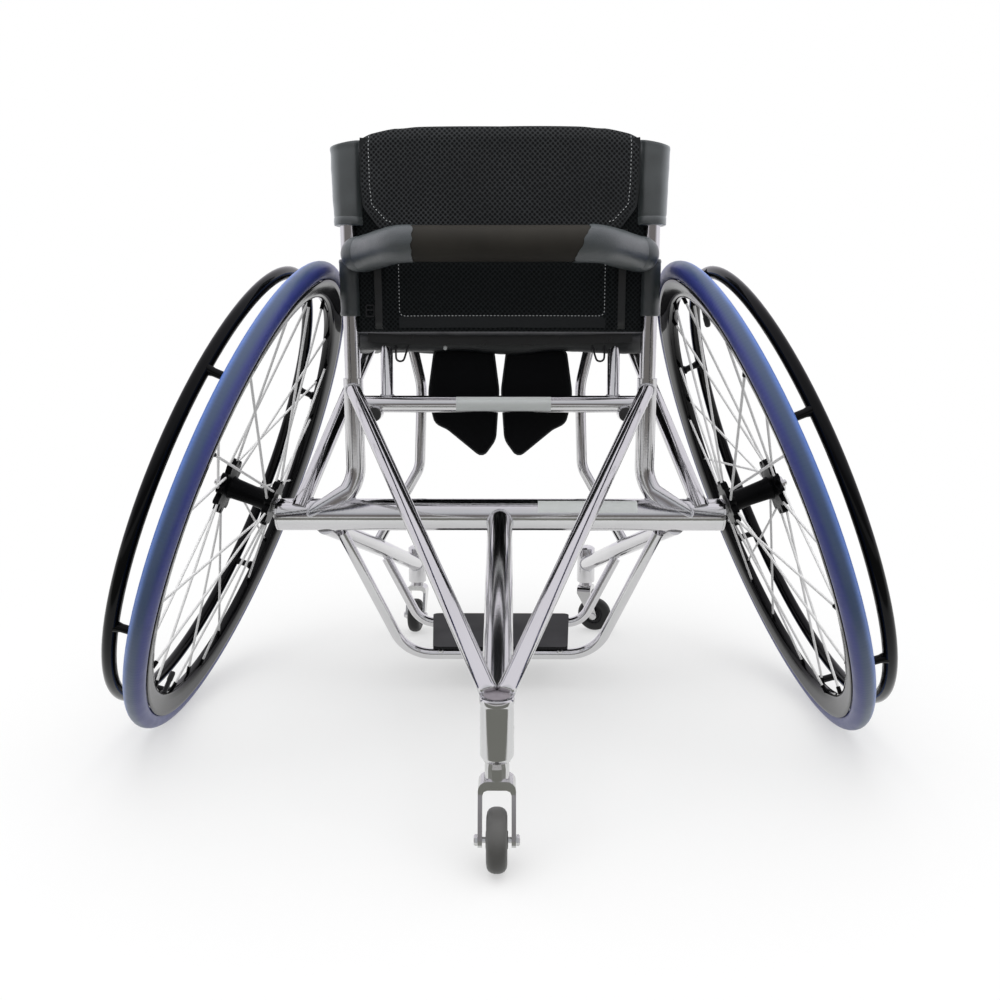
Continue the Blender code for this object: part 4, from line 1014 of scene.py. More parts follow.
def build_tubes(settings):
    """Smooth tubes for the whole frame, cut to each other, with a rippled weld bead round each joint."""
    tubes = frame_tubes()
    lines = []
    for name, end, other in frame_joints():
        found = meeting(tubes[name], end, other)
        if (name, end) != ("centre_boom", 1):
            lines += weld_runs(found)
        if all(found):
            tubes[name] = coped(tubes[name], end, found)
    for name, rings in tubes.items():
        if name.startswith("receiver"):
            rings = bored(rings, 24, (POST_R + 0.0006) / MAIN_TUBE_R)
        skins = [(rings, False)]
        if name == "cross_bar":
            for side in SIDES.values():
                seat = Vector((side * BOSS_X, -0.008, CROSS_BAR_Z - BOSS_DROP))
                skins.append((tube_rings([seat, seat + Vector((0, 0.025, 0))], BOSS_R, 32), False))
        body = "backrest" if name.startswith("back_post") else "frame"
        show(f"{name}_smooth", mesh_of(*skins), "polished", body, [name], 50.0)
    grow("weld_beads", path_skeleton(lines), "beads", "weld", "frame", Pitch=settings.weld_pitch,
         Length=settings.weld_pitch * 2.2, Width=settings.weld_width)


def curved_label(x_low, x_high, height, radius, low, high):
    """A thin bare plate wrapped on a level tube, between two angles from straight back."""
    def place_of(u, v):
        """A place of the plate's middle surface."""
        angle = math.radians(low + (high - low) * v)
        reach = radius + 0.0003
        x = x_low + (x_high - x_low) * u
        return Vector((x, AXLE_Y - reach * math.cos(angle), height + reach * math.sin(angle)))

    round_shares = [step / 12 for step in range(13)]
    return slab([0.0, 0.01, 0.5, 0.99, 1.0], round_shares, place_of, lambda u, v: 0.0002)


def build_labels():
    """The plates on the cross bar and the camber tube, left bare."""
    plate = curved_label(-0.0568, 0.0660, CROSS_BAR_Z, SIDE_TUBE_R, -50.0, 56.0)
    show("cross_bar_label", plate, "label", "frame")
    sticker = curved_label(0.0498, 0.1800, CAMBER_TUBE_Z, CAMBER_TUBE_R, 16.0, 66.0)
    show("camber_tube_label", sticker, "pale_label", "frame")


def edge_spaced(count, edge):
    """Shares from 0 to 1 that crowd towards both ends."""
    inner = [edge + (1 - 2 * edge) * i / count for i in range(count + 1)]
    rim = [edge * (1 - math.cos(math.pi / 2 * i / 4)) for i in range(4)]
    return rim + inner + [1 - share for share in reversed(rim)]


def slab(shares_u, shares_v, place_of, half_of):
    """A soft slab: a curved middle surface with a thickness on each face that rounds off at the edges."""
    shape = bmesh.new()
    uv = shape.loops.layers.uv.new("profile")
    middle = [[place_of(u, v) for v in shares_v] for u in shares_u]
    rows, columns = len(shares_u), len(shares_v)

    def normal(i, j):
        """The way that the middle surface faces at one of its places."""
        along = middle[min(i + 1, rows - 1)][j] - middle[max(i - 1, 0)][j]
        across = middle[i][min(j + 1, columns - 1)] - middle[i][max(j - 1, 0)]
        return along.cross(across).normalized()

    skins = []
    for face_side in (1.0, -1.0):
        skins.append([[shape.verts.new(middle[i][j] + normal(i, j) * face_side * half_of(u, v))
                       for j, v in enumerate(shares_v)] for i, u in enumerate(shares_u)])
    for i in range(rows - 1):
        for j in range(columns - 1):
            spots = ((i, j), (i + 1, j), (i + 1, j + 1), (i, j + 1))
            for skin in skins:
                face = shape.faces.new([skin[a][b] for a, b in spots])
                for loop, (a, b) in zip(face.loops, spots):
                    loop[uv].uv = (shares_u[a], shares_v[b])
    border = [(i, 0) for i in range(rows)] + [(rows - 1, j) for j in range(1, columns)]
    border += [(i, columns - 1) for i in range(rows - 2, -1, -1)]
    border += [(0, j) for j in range(columns - 2, 0, -1)]
    for (a, b), (c, d) in zip(border, border[1:] + border[:1]):
        shape.faces.new((skins[0][a][b], skins[0][c][d], skins[1][c][d], skins[1][a][b]))
    return to_mesh(shape)


def rounding(share, edge):
    """How full a slab is near its edge: 0 at the edge, 1 past the rounded part."""
    near = min(share, 1 - share) / edge
    return 1.0 if near >= 1 else math.sqrt(max(0.0, 1 - (1 - near) ** 2))


def wrinkle(place, scale, depth):
    """A smooth rise and fall over space, up to a depth."""
    return depth * noise.noise(Vector(place) * scale)


def spread(half, steps=60):
    """Even steps from one side to the other."""
    return [half * (2 * step / steps - 1) for step in range(steps + 1)]


def puffed(mesh, pressure, reach, held, voxel=None):
    """Cloth filled by a little pressure, held at its seams, with no place moved further than a reach."""
    scene = bpy.context.scene
    host = bpy.data.objects.new("puff", mesh)
    scene.collection.objects.link(host)

    def settled():
        """The mesh as its modifiers leave it."""
        graph = bpy.context.evaluated_depsgraph_get()
        return bpy.data.meshes.new_from_object(host.evaluated_get(graph))

    if voxel:
        even = host.modifiers.new("even", "REMESH")
        even.mode = "VOXEL"
        even.voxel_size = voxel
        host.data = settled()
        host.modifiers.clear()
    rest = [vert.co.copy() for vert in host.data.vertices]
    group = host.vertex_groups.new(name="held")
    group.add([index for index, place in enumerate(rest) if held(place)], 1.0, "REPLACE")
    cloth = host.modifiers.new("cloth", "CLOTH")
    cloth.settings.quality = 4
    cloth.settings.use_pressure = True
    cloth.settings.uniform_pressure_force = pressure
    cloth.settings.vertex_group_mass = "held"
    cloth.settings.effector_weights.gravity = 0.0
    cloth.point_cache.frame_end = PUFF_FRAMES
    for moment in range(PUFF_FRAMES):
        scene.frame_set(moment + 1)
    moved = settled()
    for vert, place in zip(moved.vertices, rest):
        step = vert.co - place
        if step.length > reach:
            vert.co = place + step * (reach / step.length)
    host.modifiers.clear()
    scene.frame_set(1)
    host.data = moved
    if voxel:
        host.modifiers.new("smooth", "SUBSURF").levels = 1
        moved = settled()
    bpy.data.objects.remove(host)
    return moved


def back_plane_y(z):
    """Where the leaning plane of the posts stands at a height."""
    return AXLE_Y - (z - RECEIVER_TOP_Z) * math.tan(RECLINE)


def post_place(side, z):
    """A point of a post's centreline."""
    return Vector((side * POST_X, back_plane_y(z), z))


def back_place(x, z, behind):
    """A point of the sagging backrest surface, so far behind the post plane."""
    across = min(1.0, abs(x) / 0.170)
    return Vector((x, back_plane_y(z) - behind - BACK_SAG * (1 - across ** 2), z))


def on_back(x, z, lift):
    """A place on the lower panel's rear skin, lifted off it by a little."""
    hit = BACK["skin"].ray_cast(Vector((x, -0.30, z)), Vector((0, 1, 0)))[0]
    return hit - Vector((0, lift, 0)) if hit else back_place(x, z, 0.0090 + lift)


def build_back_pad():
    """The lower panel: mesh cloth between vertical welts, and flat bands between them and the posts."""
    def place_of(u, v):
        """A place of the panel's middle surface."""
        z = PAD_LOW_Z + (PAD_HIGH_Z - PAD_LOW_Z) * v
        x = PAD_HALF_WIDTH * (2 * u - 1)
        return back_place(x, z, -0.002 + wrinkle((x * 0.6, 0.0, z), 14.0, 0.0020))

    def half_of(u, v):
        """Half the panel's thickness, with its side bands and welts."""
        x = PAD_HALF_WIDTH * abs(2 * u - 1)
        full = 0.0016 + 0.0088 * rounding(u, 0.03) * rounding(v, 0.05)
        if x > PAD_BAND_X:
            full -= 0.0016 * min(1.0, (x - PAD_BAND_X) / 0.004)
        welt = sum(rise * math.exp(-((x - middle) / width) ** 2) for middle, width, rise in PAD_WELTS)
        return full + welt * rounding(v, 0.05)

    def at_seam(place):
        """Whether a place is sewn down, at the sides, the foot or the top."""
        return abs(place.x) > 0.126 or place.z < PAD_LOW_Z + 0.007 or place.z > PAD_HIGH_Z - 0.007

    flat = slab(edge_spaced(120, 0.03), edge_spaced(40, 0.05), place_of, half_of)
    filled = puffed(flat, 4.0, 0.004, at_seam)
    pad = show("back_pad_cloth", filled, "mesh", "backrest", ["back_pad"], 60.0)
    BACK["skin"] = BVHTree.FromPolygons([vert.co.copy() for vert in pad.data.vertices],
                                        [tuple(face.vertices) for face in pad.data.polygons])
    route = []
    for across in spread(0.130):
        x = 0.003 + across
        route.append(on_back(x, 0.5228, -0.0008) + Vector((0, 0, wrinkle((x, 0, 0), 30.0, 0.0006))))
    show("back_pad_hem", mesh_of(swept(route, flat_section(0.0030, 0.0140))), "hem", "backrest")
    straps = []
    for side in SIDES.values():
        route = [on_back(side * 0.1513, 0.5150 + 0.0045 * step, -0.0006) for step in range(28)]
        straps.append(swept(route, flat_section(0.0150, 0.0028), up=(0, 1, 0)))
    show("back_pad_straps", mesh_of(*straps), "strap", "backrest")


def cover_half_width(z):
    """Half the cover's width at a height, from its outline."""
    for (x_high, z_high), (x_low, z_low) in zip(COVER_OUTLINE[4:], COVER_OUTLINE[5:]):
        if z_low <= z <= z_high:
            return x_low + (x_high - x_low) * (z - z_low) / max(1e-6, z_high - z_low)
    return COVER_OUTLINE[4][0]


def cover_top(x):
    """The height of the cover's top edge, which falls away at the shoulders."""
    for (x_low, z_high), (x_high, z_low) in zip(COVER_OUTLINE, COVER_OUTLINE[1:5]):
        if x_low <= abs(x) <= x_high:
            return z_high + (z_low - z_high) * (abs(x) - x_low) / (x_high - x_low)
    return COVER_OUTLINE[4][1]


def cover_edge(inset):
    """The cover's sides and lower corners, down one side and up the other, set in by a distance."""
    half = [(x - inset, z + (inset * 0.6 if z < 0.65 else 0.0)) for x, z in COVER_OUTLINE[4:9]]
    spots = [(-x, z) for x, z in half] + [(x, z) for x, z in reversed(half)]
    route = rounded_route([(x, z, 0) for x, z in spots], 0.008, 3)
    middle = len(route) // 2
    return [[(place.x, place.y) for place in side] for side in (route[:middle], route[middle:])]


def build_back_cover():
    """A hanging cover of mesh cloth with a bound edge."""
    low, shoulder = COVER_OUTLINE[-1][1], COVER_OUTLINE[4][1]

    def place_of(u, v):
        """A place of the cover's middle surface, drawn in along two upright folds."""
        z = low + (shoulder - low) * v
        x = cover_half_width(min(z, shoulder)) * (2 * u - 1)
        z += (cover_top(x) - shoulder) * max(0.0, v - 0.4) / 0.6
        ripple = wrinkle((x * 0.5, 3.0, z), 16.0, 0.0016)
        ripple -= 0.0045 * math.exp(-((abs(x) - COVER_FOLD_X) / 0.014) ** 2) * (0.4 + 0.6 * v)
        return back_place(x, z, COVER_BEHIND + ripple - 0.006 * max(0.0, v - 0.9) / 0.1)

    def half_of(u, v):
        """Half the cover's thickness."""
        return 0.0007 + 0.0026 * rounding(u, 0.03) * rounding(v, 0.05)

    cloth = slab(edge_spaced(90, 0.02), edge_spaced(40, 0.04), place_of, half_of)
    cover = show("back_cover_cloth", cloth, "cover_mesh", "backrest", ["back_cover"], 60.0)
    section = [(-0.0050, -0.0005), (-0.0048, 0.0006), (0.0048, 0.0006), (0.0050, -0.0005),
               (0.0048, -0.0040), (-0.0048, -0.0040)]
    bands = []
    for half in cover_edge(0.0050):
        route = resampled([back_place(x, z, BINDING_BEHIND) for x, z in half], 0.005)
        bands.append(swept(route, section, up=(0, -1, 0)))
    show("back_cover_binding", mesh_of(*bands), "binding", "backrest")


def build_post_pad(side_name, side):
    """A padded vinyl sleeve with a flat rimmed top, a hem and soft creases."""
    low, high = UPPER_SLEEVE_Z
    half_x, half_y = UPPER_SLEEVE_HALVES
    rings = []
    for level, size in UPPER_SLEEVE_SIZES:
        z = low + (high - low) * level
        centre = post_place(side, z) - Vector((side * 0.0018, 0, 0))
        flare = 0.93 + 0.07 * level
        ring = []
        for x, y in superellipse(half_x * flare * size, half_y * size, 2.2, 48):
            crease = wrinkle((x * 0.7, y * 0.7 + side, z), 60.0, 0.0006) if 0.02 < level < 0.98 else 0.0
            slope = -0.20 * side * x * max(0.0, level - 0.5) * 2
            ring.append(centre + Vector((x * (1 + crease / 0.018), y * (1 + crease / 0.018), slope)))
        rings.append(ring)
    pad = show(f"post_pad_{side_name}", mesh_of((rings, False)), "vinyl", "backrest",
               [f"upper_sleeve_{side_name}"], 50.0)


def build_post_wrap(side_name, side):
    """The slim vinyl sleeve on the lower part of a post."""
    route = [post_place(side, 0.531 + 0.0018 * step) for step in range(40)]

    def creased(share, place):
        """The sleeve's size along its length, with drawn-in ends."""
        end = min(share, 1 - share)
        return (0.93 if end < 0.01 else 1.0) + wrinkle(place, 90.0, 0.05) + 0.03 * (end < 0.06)

    mesh = mesh_of(swept(route, circle(LOWER_SLEEVE_R, 28), up=(0, 1, 0), swell=creased))
    wrap = show(f"post_wrap_{side_name}", mesh, "lower_vinyl", "backrest",
                [f"lower_sleeve_{side_name}"], 50.0)


def grab_route():
    """Half of the padded bar's centreline, from its tip by the post to the middle."""
    y, z = -0.0325, 0.6045
    corners = [(0.1930, y, z), (0.1690, y, z), (0.1180, GRAB_BAR_Y, GRAB_BAR_Z),
               (0, GRAB_BAR_Y, GRAB_BAR_Z)]
    return [Vector((0.1955, y, z))] + rounded_route(corners, [0.010, 0.034], 6)


def build_grab_bar():
    """Foam over a bent bar, with vinyl wraps creased round its ends."""
    half = grab_route()
    route = resampled(mirrored(half, -1.0) + half[::-1][1:], ROUTE_PITCH)
    section = circle(GRAB_BAR_R, 40)

    def rounded_tip(share, place):
        """The bar's size, down to a round tip beyond each post."""
        return math.sqrt(max(0.02, 1 - (max(0.0, abs(place.x) - GRAB_TIP_X) / GRAB_TIP_LENGTH) ** 2))

    foam = show("grab_bar_foam", mesh_of(swept(route, section, swell=rounded_tip)), "foam", "backrest",
                ["grab_bar"], 50.0)
    for side_name, side in SIDES.items():
        inner_end = WRAP_INNER_ENDS[side_name]
        wrapped = [place for place in mirrored(resampled(half, 0.0020), side) if abs(place.x) > inner_end]

        def creased(share, place, side=side):
            """The wrap's size, with folds round it."""
            fold = abs(noise.noise(Vector((place.x * 34, place.y * 20, side * 5)))) * 0.05
            return rounded_tip(share, place) * (1.035 + fold)

        skin = swept(wrapped, section, swell=creased)
        for nearness, ring in enumerate(skin[0][-WRAP_RAGGED_RINGS:], 1):
            for place in ring:
                slant = (place.z - GRAB_BAR_Z) * 0.5 if side > 0 else 0.0
                ragged = 0.0045 * noise.noise(Vector((side * 7, place.y * 110, place.z * 110)))
                place.x += (slant + ragged) * nearness / WRAP_RAGGED_RINGS
        wrap = show(f"grab_bar_wrap_{side_name}", mesh_of(skin), "wrap", "backrest", ["grab_bar"], 50.0)


def build_sling():
    """The seat's cloth, stretched inside the hoop with round corners."""
    def place_of(u, v):
        """A place of the sling's middle surface."""
        y = SEAT_REAR_Y - 0.001 + (SEAT_FRONT_Y - SEAT_REAR_Y + 0.002) * v
        near = max(0.0, SEAT_CORNER_R - min(y - SEAT_REAR_Y + 0.001, SEAT_FRONT_Y + 0.001 - y))
        bow = math.sqrt(max(0.0, SEAT_CORNER_R ** 2 - near ** 2))
        x = (SEAT_HALF_WIDTH + 0.001 - SEAT_CORNER_R + bow) * (2 * u - 1)
        along = 1 - (2 * v - 1) ** 2
        drop = 0.004 * (1 - (2 * u - 1) ** 2) * along + wrinkle((x, y, 0), 12.0, 0.0012) * along
        return Vector((x, y, SEAT_Z + SEAT_TUBE_R + 0.0022 - drop))

    def half_of(u, v):
        """Half the sling's thickness."""
        return 0.0006 + 0.0018 * rounding(u, 0.02) * rounding(v, 0.02)

    cloth = slab(edge_spaced(60, 0.02), edge_spaced(60, 0.02), place_of, half_of)
    sling = show("seat_sling_cloth", cloth, "flap_cloth", "frame", ["seat_sling"], 60.0)


def build_seat():
    """The sling, the sleeve that holds it to the seat hoop, and the strap behind it."""
    build_sling()
    corners = [(-SEAT_HALF_WIDTH, SEAT_REAR_Y, SEAT_Z), (SEAT_HALF_WIDTH, SEAT_REAR_Y, SEAT_Z),
               (SEAT_HALF_WIDTH, SEAT_FRONT_Y, SEAT_Z), (-SEAT_HALF_WIDTH, SEAT_FRONT_Y, SEAT_Z)]
    route = resampled(rounded_route(corners, SEAT_CORNER_R, 8, closed=True), ROUTE_PITCH, closed=True)

    def creased(share, place):
        """The sleeve's size, with creases round it."""
        return 1.0 + 0.13 * abs(noise.noise(place * 34)) + 0.02 * noise.noise(place * 140)

    skin = swept(route, circle(SEAT_SLEEVE_R, 26), closed=True, swell=creased)
    for ring in skin[0]:
        for place in ring:
            under = max(0.0, SEAT_Z - place.z) / SEAT_SLEEVE_R
            fold = max(0.0, 0.45 + noise.noise(Vector((place.x * 13, place.y * 13, 3.0))))
            place.z -= 0.0062 * fold * under
    sleeve = show("seat_sleeve", mesh_of(skin), "binding", "frame", (), 60.0)
    route = []
    for x in spread(REAR_STRAP_HALF):
        drop = 0.0035 * (1 - (x / REAR_STRAP_HALF) ** 2) + wrinkle((x, 0, 7.0), 26.0, 0.0014)
        route.append(Vector((x, SEAT_REAR_Y - 0.0152, SEAT_Z + 0.0035 - drop)))
    show("seat_rear_strap", mesh_of(swept(route, flat_section(0.0024, 0.0115))), "strap", "frame")


def flap_rings(side, outline, flap_y):
    """A flap's skin in rings, from the middle of its rear face round its edge to its front face."""
    middle = middle_of(outline)
    insets = [(0.0, 0.0012), (0.0006, 0.0030), (0.0020, 0.0044), (0.0042, 0.0052), (0.0080, 0.0055)]
    rear, front = [], []
    for inset, half in insets + [(0.25, 0.0056), (0.5, 0.0054), (0.75, 0.0052)]:
        rear_ring, front_ring = [], []
        for place in outline:
            reach = place - middle
            share = inset if inset > 0.02 else inset / reach.length
            spot = middle + reach * (1 - share)
            dent = wrinkle((spot.x, side, spot.z), 26.0, 0.0010) if inset > 0.003 else 0.0
            rear_ring.append(Vector((spot.x, flap_y - (half + dent), spot.z)))
            front_ring.append(Vector((spot.x, flap_y + (half + dent), spot.z)))
        rear.append(rear_ring)
        front.append(front_ring)
    return rear[::-1] + front


def build_flaps():
    """Two padded flaps with a bound edge, hung under the seat."""
    flap_y = SEAT_REAR_Y + 0.006
    for side_name, side in SIDES.items():
        name = f"leg_flap_{side_name}"
        corners = [(side * x, 0, z) for x, z in FLAP_CORNERS]
        outline = resampled(rounded_route(corners, FLAP_RADII, 8, closed=True), ROUTE_PITCH, closed=True)

        def at_seam(place, outline=outline):
            """Whether a place is by the flap's bound edge."""
            apart = min((place.x - spot.x) ** 2 + (place.z - spot.z) ** 2 for spot in outline)
            return apart < SEAM_WIDTH ** 2

        filled = puffed(mesh_of((flap_rings(side, outline, flap_y), False)), 4.0, 0.003, at_seam, 0.004)
        flap = show(f"{name}_cloth", filled, "flap_cloth", "frame", [name], 60.0)
        route = [Vector((place.x, flap_y, place.z)) for place in outline]
        piping = mesh_of(swept(route, circle(PIPING_R, 8), closed=True, up=(0, 1, 0)))
        show(f"{name}_piping", piping, "binding", "frame")


def build_stitches(settings):
    """Stitch lines: the cover's border, and round the lower panel inside its welts."""
    paths = [([back_place(x, z, COVER_STITCH_BEHIND) for x, z in half], False)
             for half in cover_edge(0.0118)]
    corners = [(-0.1265, 0, 0.6280), (-0.1265, 0, 0.5304), (0.1315, 0, 0.5304), (0.1315, 0, 0.6280)]
    route = resampled(rounded_route(corners, 0.006, 4), ROUTE_PITCH)
    paths.append(([on_back(place.x, place.z, 0.0004) for place in route], False))
    grow("stitching", path_skeleton(paths), "beads", "thread", "backrest", Pitch=settings.stitch_pitch,
         Length=settings.stitch_pitch * 0.55, Width=STITCH_WIDTH)


def build_fasteners():
    """Screws on the footplate and behind the seat, and plugs in the cross bar's bosses."""
    plate = [((side * 0.0850, REAR_HOOP_Y - 0.0052, HOOP_Z + 0.0062), (0, -0.6, 0.8))
             for side in SIDES.values()]
    grow("footplate_screws", point_skeleton(plate), "heads", "satin", "frame", Radius=0.0044, Height=0.0030)
    rear = [((-0.0720, SEAT_REAR_Y - 0.0098, SEAT_Z - 0.0088), (0, -0.75, -0.66))]
    grow("seat_screw", point_skeleton(rear), "heads", "pale_label", "frame", Radius=0.0026, Height=0.0030)
    profile = [(0.0001, 0.0), (0.0086, 0.0), (0.0090, 0.0010), (0.0088, 0.0030), (0.0060, 0.0040),
               (0.0001, 0.0042)]
    plugs = []
    for side in SIDES.values():
        seat = Matrix.Translation((side * BOSS_X, AXLE_Y - 0.0162, CROSS_BAR_Z - BOSS_DROP))
        plugs.append(knob(profile, 24, seat @ Matrix.Rotation(math.pi / 2, 4, "X")))
    show("boss_plugs", mesh_of(*plugs), "rubber", "frame")


def build_small_straps():
    """A small buckle, the anti-tip barrel's cap, and thin hook straps under the seat's rear corners."""
    seat = on_back(-0.1648, 0.5373, 0.0017)
    corners = ((-0.0050, -0.0070), (0.0050, -0.0070), (0.0050, 0.0070), (-0.0050, 0.0070))
    loop = rounded_route([seat + Vector((x, 0, z)) for x, z in corners], 0.002, 3, closed=True)
    pin = [seat + Vector((x, 0.0004, 0.001)) for x in (-0.0050, 0.0050)]
    buckle = mesh_of(swept(loop, circle(0.0011, 8), closed=True, up=(0, 1, 0)),
                     swept(pin, circle(0.0010, 8), up=(0, 1, 0)))
    show("back_pad_buckle", buckle, "nylon", "backrest")
    profile = [(0.0001, -0.001), (0.0126, -0.001), (0.0128, 0.0002), (0.0122, 0.0006), (0.0001, 0.0007)]
    cap = mesh_of(knob(profile, 32, Matrix.Translation((0, ANTITIP_Y, 0.1664))))
    show("antitip_cap", cap, "cap", "frame")
    corners = [(0.1370, 0.0250, 0.4930), (0.1365, 0.0250, 0.4735), (0.1270, 0.0250, 0.4735),
               (0.1205, 0.0250, 0.4930)]
    hooks = []
    for side in SIDES.values():
        route = resampled(rounded_route(mirrored(corners, side), 0.005, 4), 0.002)
        hooks.append(swept(route, circle(HOOK_STRAP_R, 8), up=(0, 1, 0)))
    show("hook_straps", mesh_of(*hooks), "nylon", "frame")


CAD_FINISH = {
    "polished": ("back_post", "camber_tube", "caster_arm", "centre_boom", "cross_bar", "foot_hoop",
                 "down_tube", "receiver", "rear_strut", "side_tube", "v_stay"),
    "satin": ("axle", "camber_plug", "housing", "_fork", "stem_bush"),
    "gloss_black": ("seat_frame", "rim_", "handrim", "spoked_hub"),
    "plate": ("footplate",),
    "rubber": ("_wheel", "tyre"),
    "vinyl": ("sleeve", "grab_bar"),
    "mesh": ("back_pad", "back_cover", "seat_sling", "leg_flap"),
}


def finish_frame():
    """Gives each carried-over CAD node its finish."""
    for name, node in frame["nodes"].items():
        chosen = [finish for finish, words in CAD_FINISH.items() if any(word in name for word in words)]
        if not chosen:
            raise RuntimeError("no finish is set for CAD node " + name)
        node.data.materials.clear()
        node.data.materials.append(MATERIALS[chosen[0]])


def floor_material(settings):
    """Lit near the chair, plain white far off. Metal sees the room's pale and dark strips in it."""
    material = bpy.data.materials.new("floor")
    web = blank_web(material)
    place = web.add("ShaderNodeTexCoord").outputs["Object"]
    distance = web.add("ShaderNodeVectorMath", {0: place}, operation="LENGTH").outputs["Value"]
    rays, seen = web.seen()
    glossy = rays["Is Glossy Ray"]
    seen = web.math("MAXIMUM", seen, glossy)
    back = web.math("MULTIPLY", web.add("ShaderNodeSeparateXYZ", {0: place}).outputs["Y"], -1.0)
    facing = web.span(web.math("DIVIDE", back, distance), 0.15, 0.45, 0.0, 1.0)
    dark = settings.dark_side
    strip = web.ramp(web.math("DIVIDE", back, 4.0), [
        (0.0, (0.95, 0.97, 0.95)), (0.100, (0.95, 0.97, 0.95)), (0.112, scaled((1.15, 1.17, 1.05), dark)),
        (0.215, scaled((1.2, 1.22, 1.1), dark)), (0.25, (0.72, 0.72, 0.72)), (0.38, (0.70, 0.70, 0.70)),
        (0.50, scaled((1.1, 1.05, 1.0), dark)), (1.0, scaled((1.0, 0.95, 0.90), dark))])
    tone = web.mix(web.math("MULTIPLY", facing, glossy), (1.0, 1.0, 1.0), strip)
    near = web.math("MULTIPLY", web.span(back, 0.39, 0.44, 0.0, 1.0), glossy)
    far = web.math("MAXIMUM", web.span(distance, 0.45, 1.20, settings.floor_lift, 1.0), near)
    pale = web.mix(rays["Is Diffuse Ray"], (0.95, 0.95, 0.95), (0.36, 0.36, 0.36))
    lit = web.add("ShaderNodeBsdfDiffuse", {"Color": pale}).outputs[0]
    white = web.add("ShaderNodeEmission", {"Color": tone, "Strength": 1.0}).outputs[0]
    blend = web.add("ShaderNodeMixShader", {0: web.math("MULTIPLY", far, seen), 1: lit, 2: white})
    web.add("ShaderNodeOutputMaterial", {"Surface": blend.outputs[0]})
    return material


def build_floor(settings):
    """A pale floor that holds the chair's shadow and runs into the backdrop."""
    mesh = bpy.data.meshes.new("floor")
    corners = [(-1, -1), (1, -1), (1, 1), (-1, 1)]
    mesh.from_pydata([(FLOOR_REACH * x, FLOOR_REACH * y, -0.0004) for x, y in corners], [], [(0, 1, 2, 3)])
    mesh.materials.append(floor_material(settings))
    floor = bpy.data.objects.new("floor", mesh)
    bpy.context.scene.collection.objects.link(floor)


def build_world(settings):
    """White to the camera. Metal also sees the darker room behind the camera, up to its pale ceiling."""
    world = bpy.data.worlds.new("studio")
    bpy.context.scene.world = world
    web = blank_web(world)
    direction = web.add("ShaderNodeTexCoord").outputs["Generated"]
    parts = web.add("ShaderNodeSeparateXYZ", {0: direction}).outputs
    rear = web.span(parts["Y"], -0.30, -0.75, 0.0, 1.0)
    low = scaled((1.05, 0.98, 0.95), settings.dark_side)
    rise = web.ramp(parts["Z"], [
        (0.0, low), (0.05, low), (0.12, (0.32, 0.31, 0.335)), (0.25, (0.52, 0.54, 0.56)),
        (0.42, (0.70, 0.71, 0.74)), (0.77, (0.74, 0.74, 0.76)), (0.88, (0.66, 0.65, 0.70)),
        (0.97, (0.98, 0.94, 1.0))])
    room = web.mix(rear, (0.93, 0.91, 0.97), rise)
    rays, seen = web.seen()
    ambient = settings.ambient
    lift = web.span(parts["Z"], 0.0, 0.9, 0.45 * ambient, 1.40 * ambient)
    unseen = web.mix(rays["Is Glossy Ray"], lift, room)
    shown = web.mix(seen, unseen, (1.0, 1.0, 1.0))
    background = web.add("ShaderNodeBackground", {"Color": shown, "Strength": 1.0})
    web.add("ShaderNodeOutputWorld", {"Surface": background.outputs[0]})


def add_lamp(name, place, aim, size, power):
    """A rectangular lamp aimed at a place. It lights the chair without showing in its metal."""
    lamp = bpy.data.lights.new(name, "AREA")
    lamp.shape = "RECTANGLE"
    lamp.size, lamp.size_y = size
    lamp.energy = power
    holder = bpy.data.objects.new(name, lamp)
    holder.location = place
    holder.rotation_euler = (Vector(aim) - Vector(place)).to_track_quat("-Z", "Y").to_euler()
    holder.visible_glossy = False
    bpy.context.scene.collection.objects.link(holder)


def build_stage(settings):
    """The camera behind the chair, the floor, the studio and its three lamps."""
    scene = bpy.context.scene
    scene.view_settings.view_transform = "Standard"
    camera = bpy.data.cameras.new("camera")
    camera.lens = settings.lens
    camera.sensor_width = 36.0
    holder = bpy.data.objects.new("camera", camera)
    holder.location = CAMERA_PLACE
    holder.rotation_euler = (math.pi / 2 - settings.camera_pitch, 0, CAMERA_TURN)
    scene.collection.objects.link(holder)
    scene.camera = holder
    build_floor(settings)
    build_world(settings)
    add_lamp("key", (0.0, -0.2, 3.0), (0, 0.0, 0.0), (4.0, 4.0), settings.key_power)
    for name, x in (("strip_left", -1.9), ("strip_right", 1.9)):
        add_lamp(name, (x, -1.5, 1.5), (0, 0, 0.35), (0.5, 1.4), settings.key_power * STRIP_LAMP_SHARE)


class CHAIR_OT_materials(bpy.types.Operator):
    """Make the finishes and the node trees, and finish the carried-over frame nodes"""

    bl_idname = "chair.materials"
    bl_label = "Finishes"

    def execute(self, context):
        make_materials()
        TREES.update(rods=rod_tree(), beads=bead_tree(), heads=head_tree())
        finish_frame()
        return {"FINISHED"}


class CHAIR_OT_tyres(bpy.types.Operator):
    """Fit the round tyres and their valves"""

    bl_idname = "chair.tyres"
    bl_label = "Tyres"

    def execute(self, context):
        for side_name in SIDES:
            build_tyre(side_name, context.scene.chair.ring_steps)
            build_valve(side_name)
        return {"FINISHED"}


class CHAIR_OT_rims(bpy.types.Operator):
    """Fit the deep rims and the handrims"""

    bl_idname = "chair.rims"
    bl_label = "Rims and handrims"

    def execute(self, context):
        for side_name in SIDES:
            build_rim(side_name, context.scene.chair.ring_steps)
            build_handrim(side_name, context.scene.chair.ring_steps)
        return {"FINISHED"}


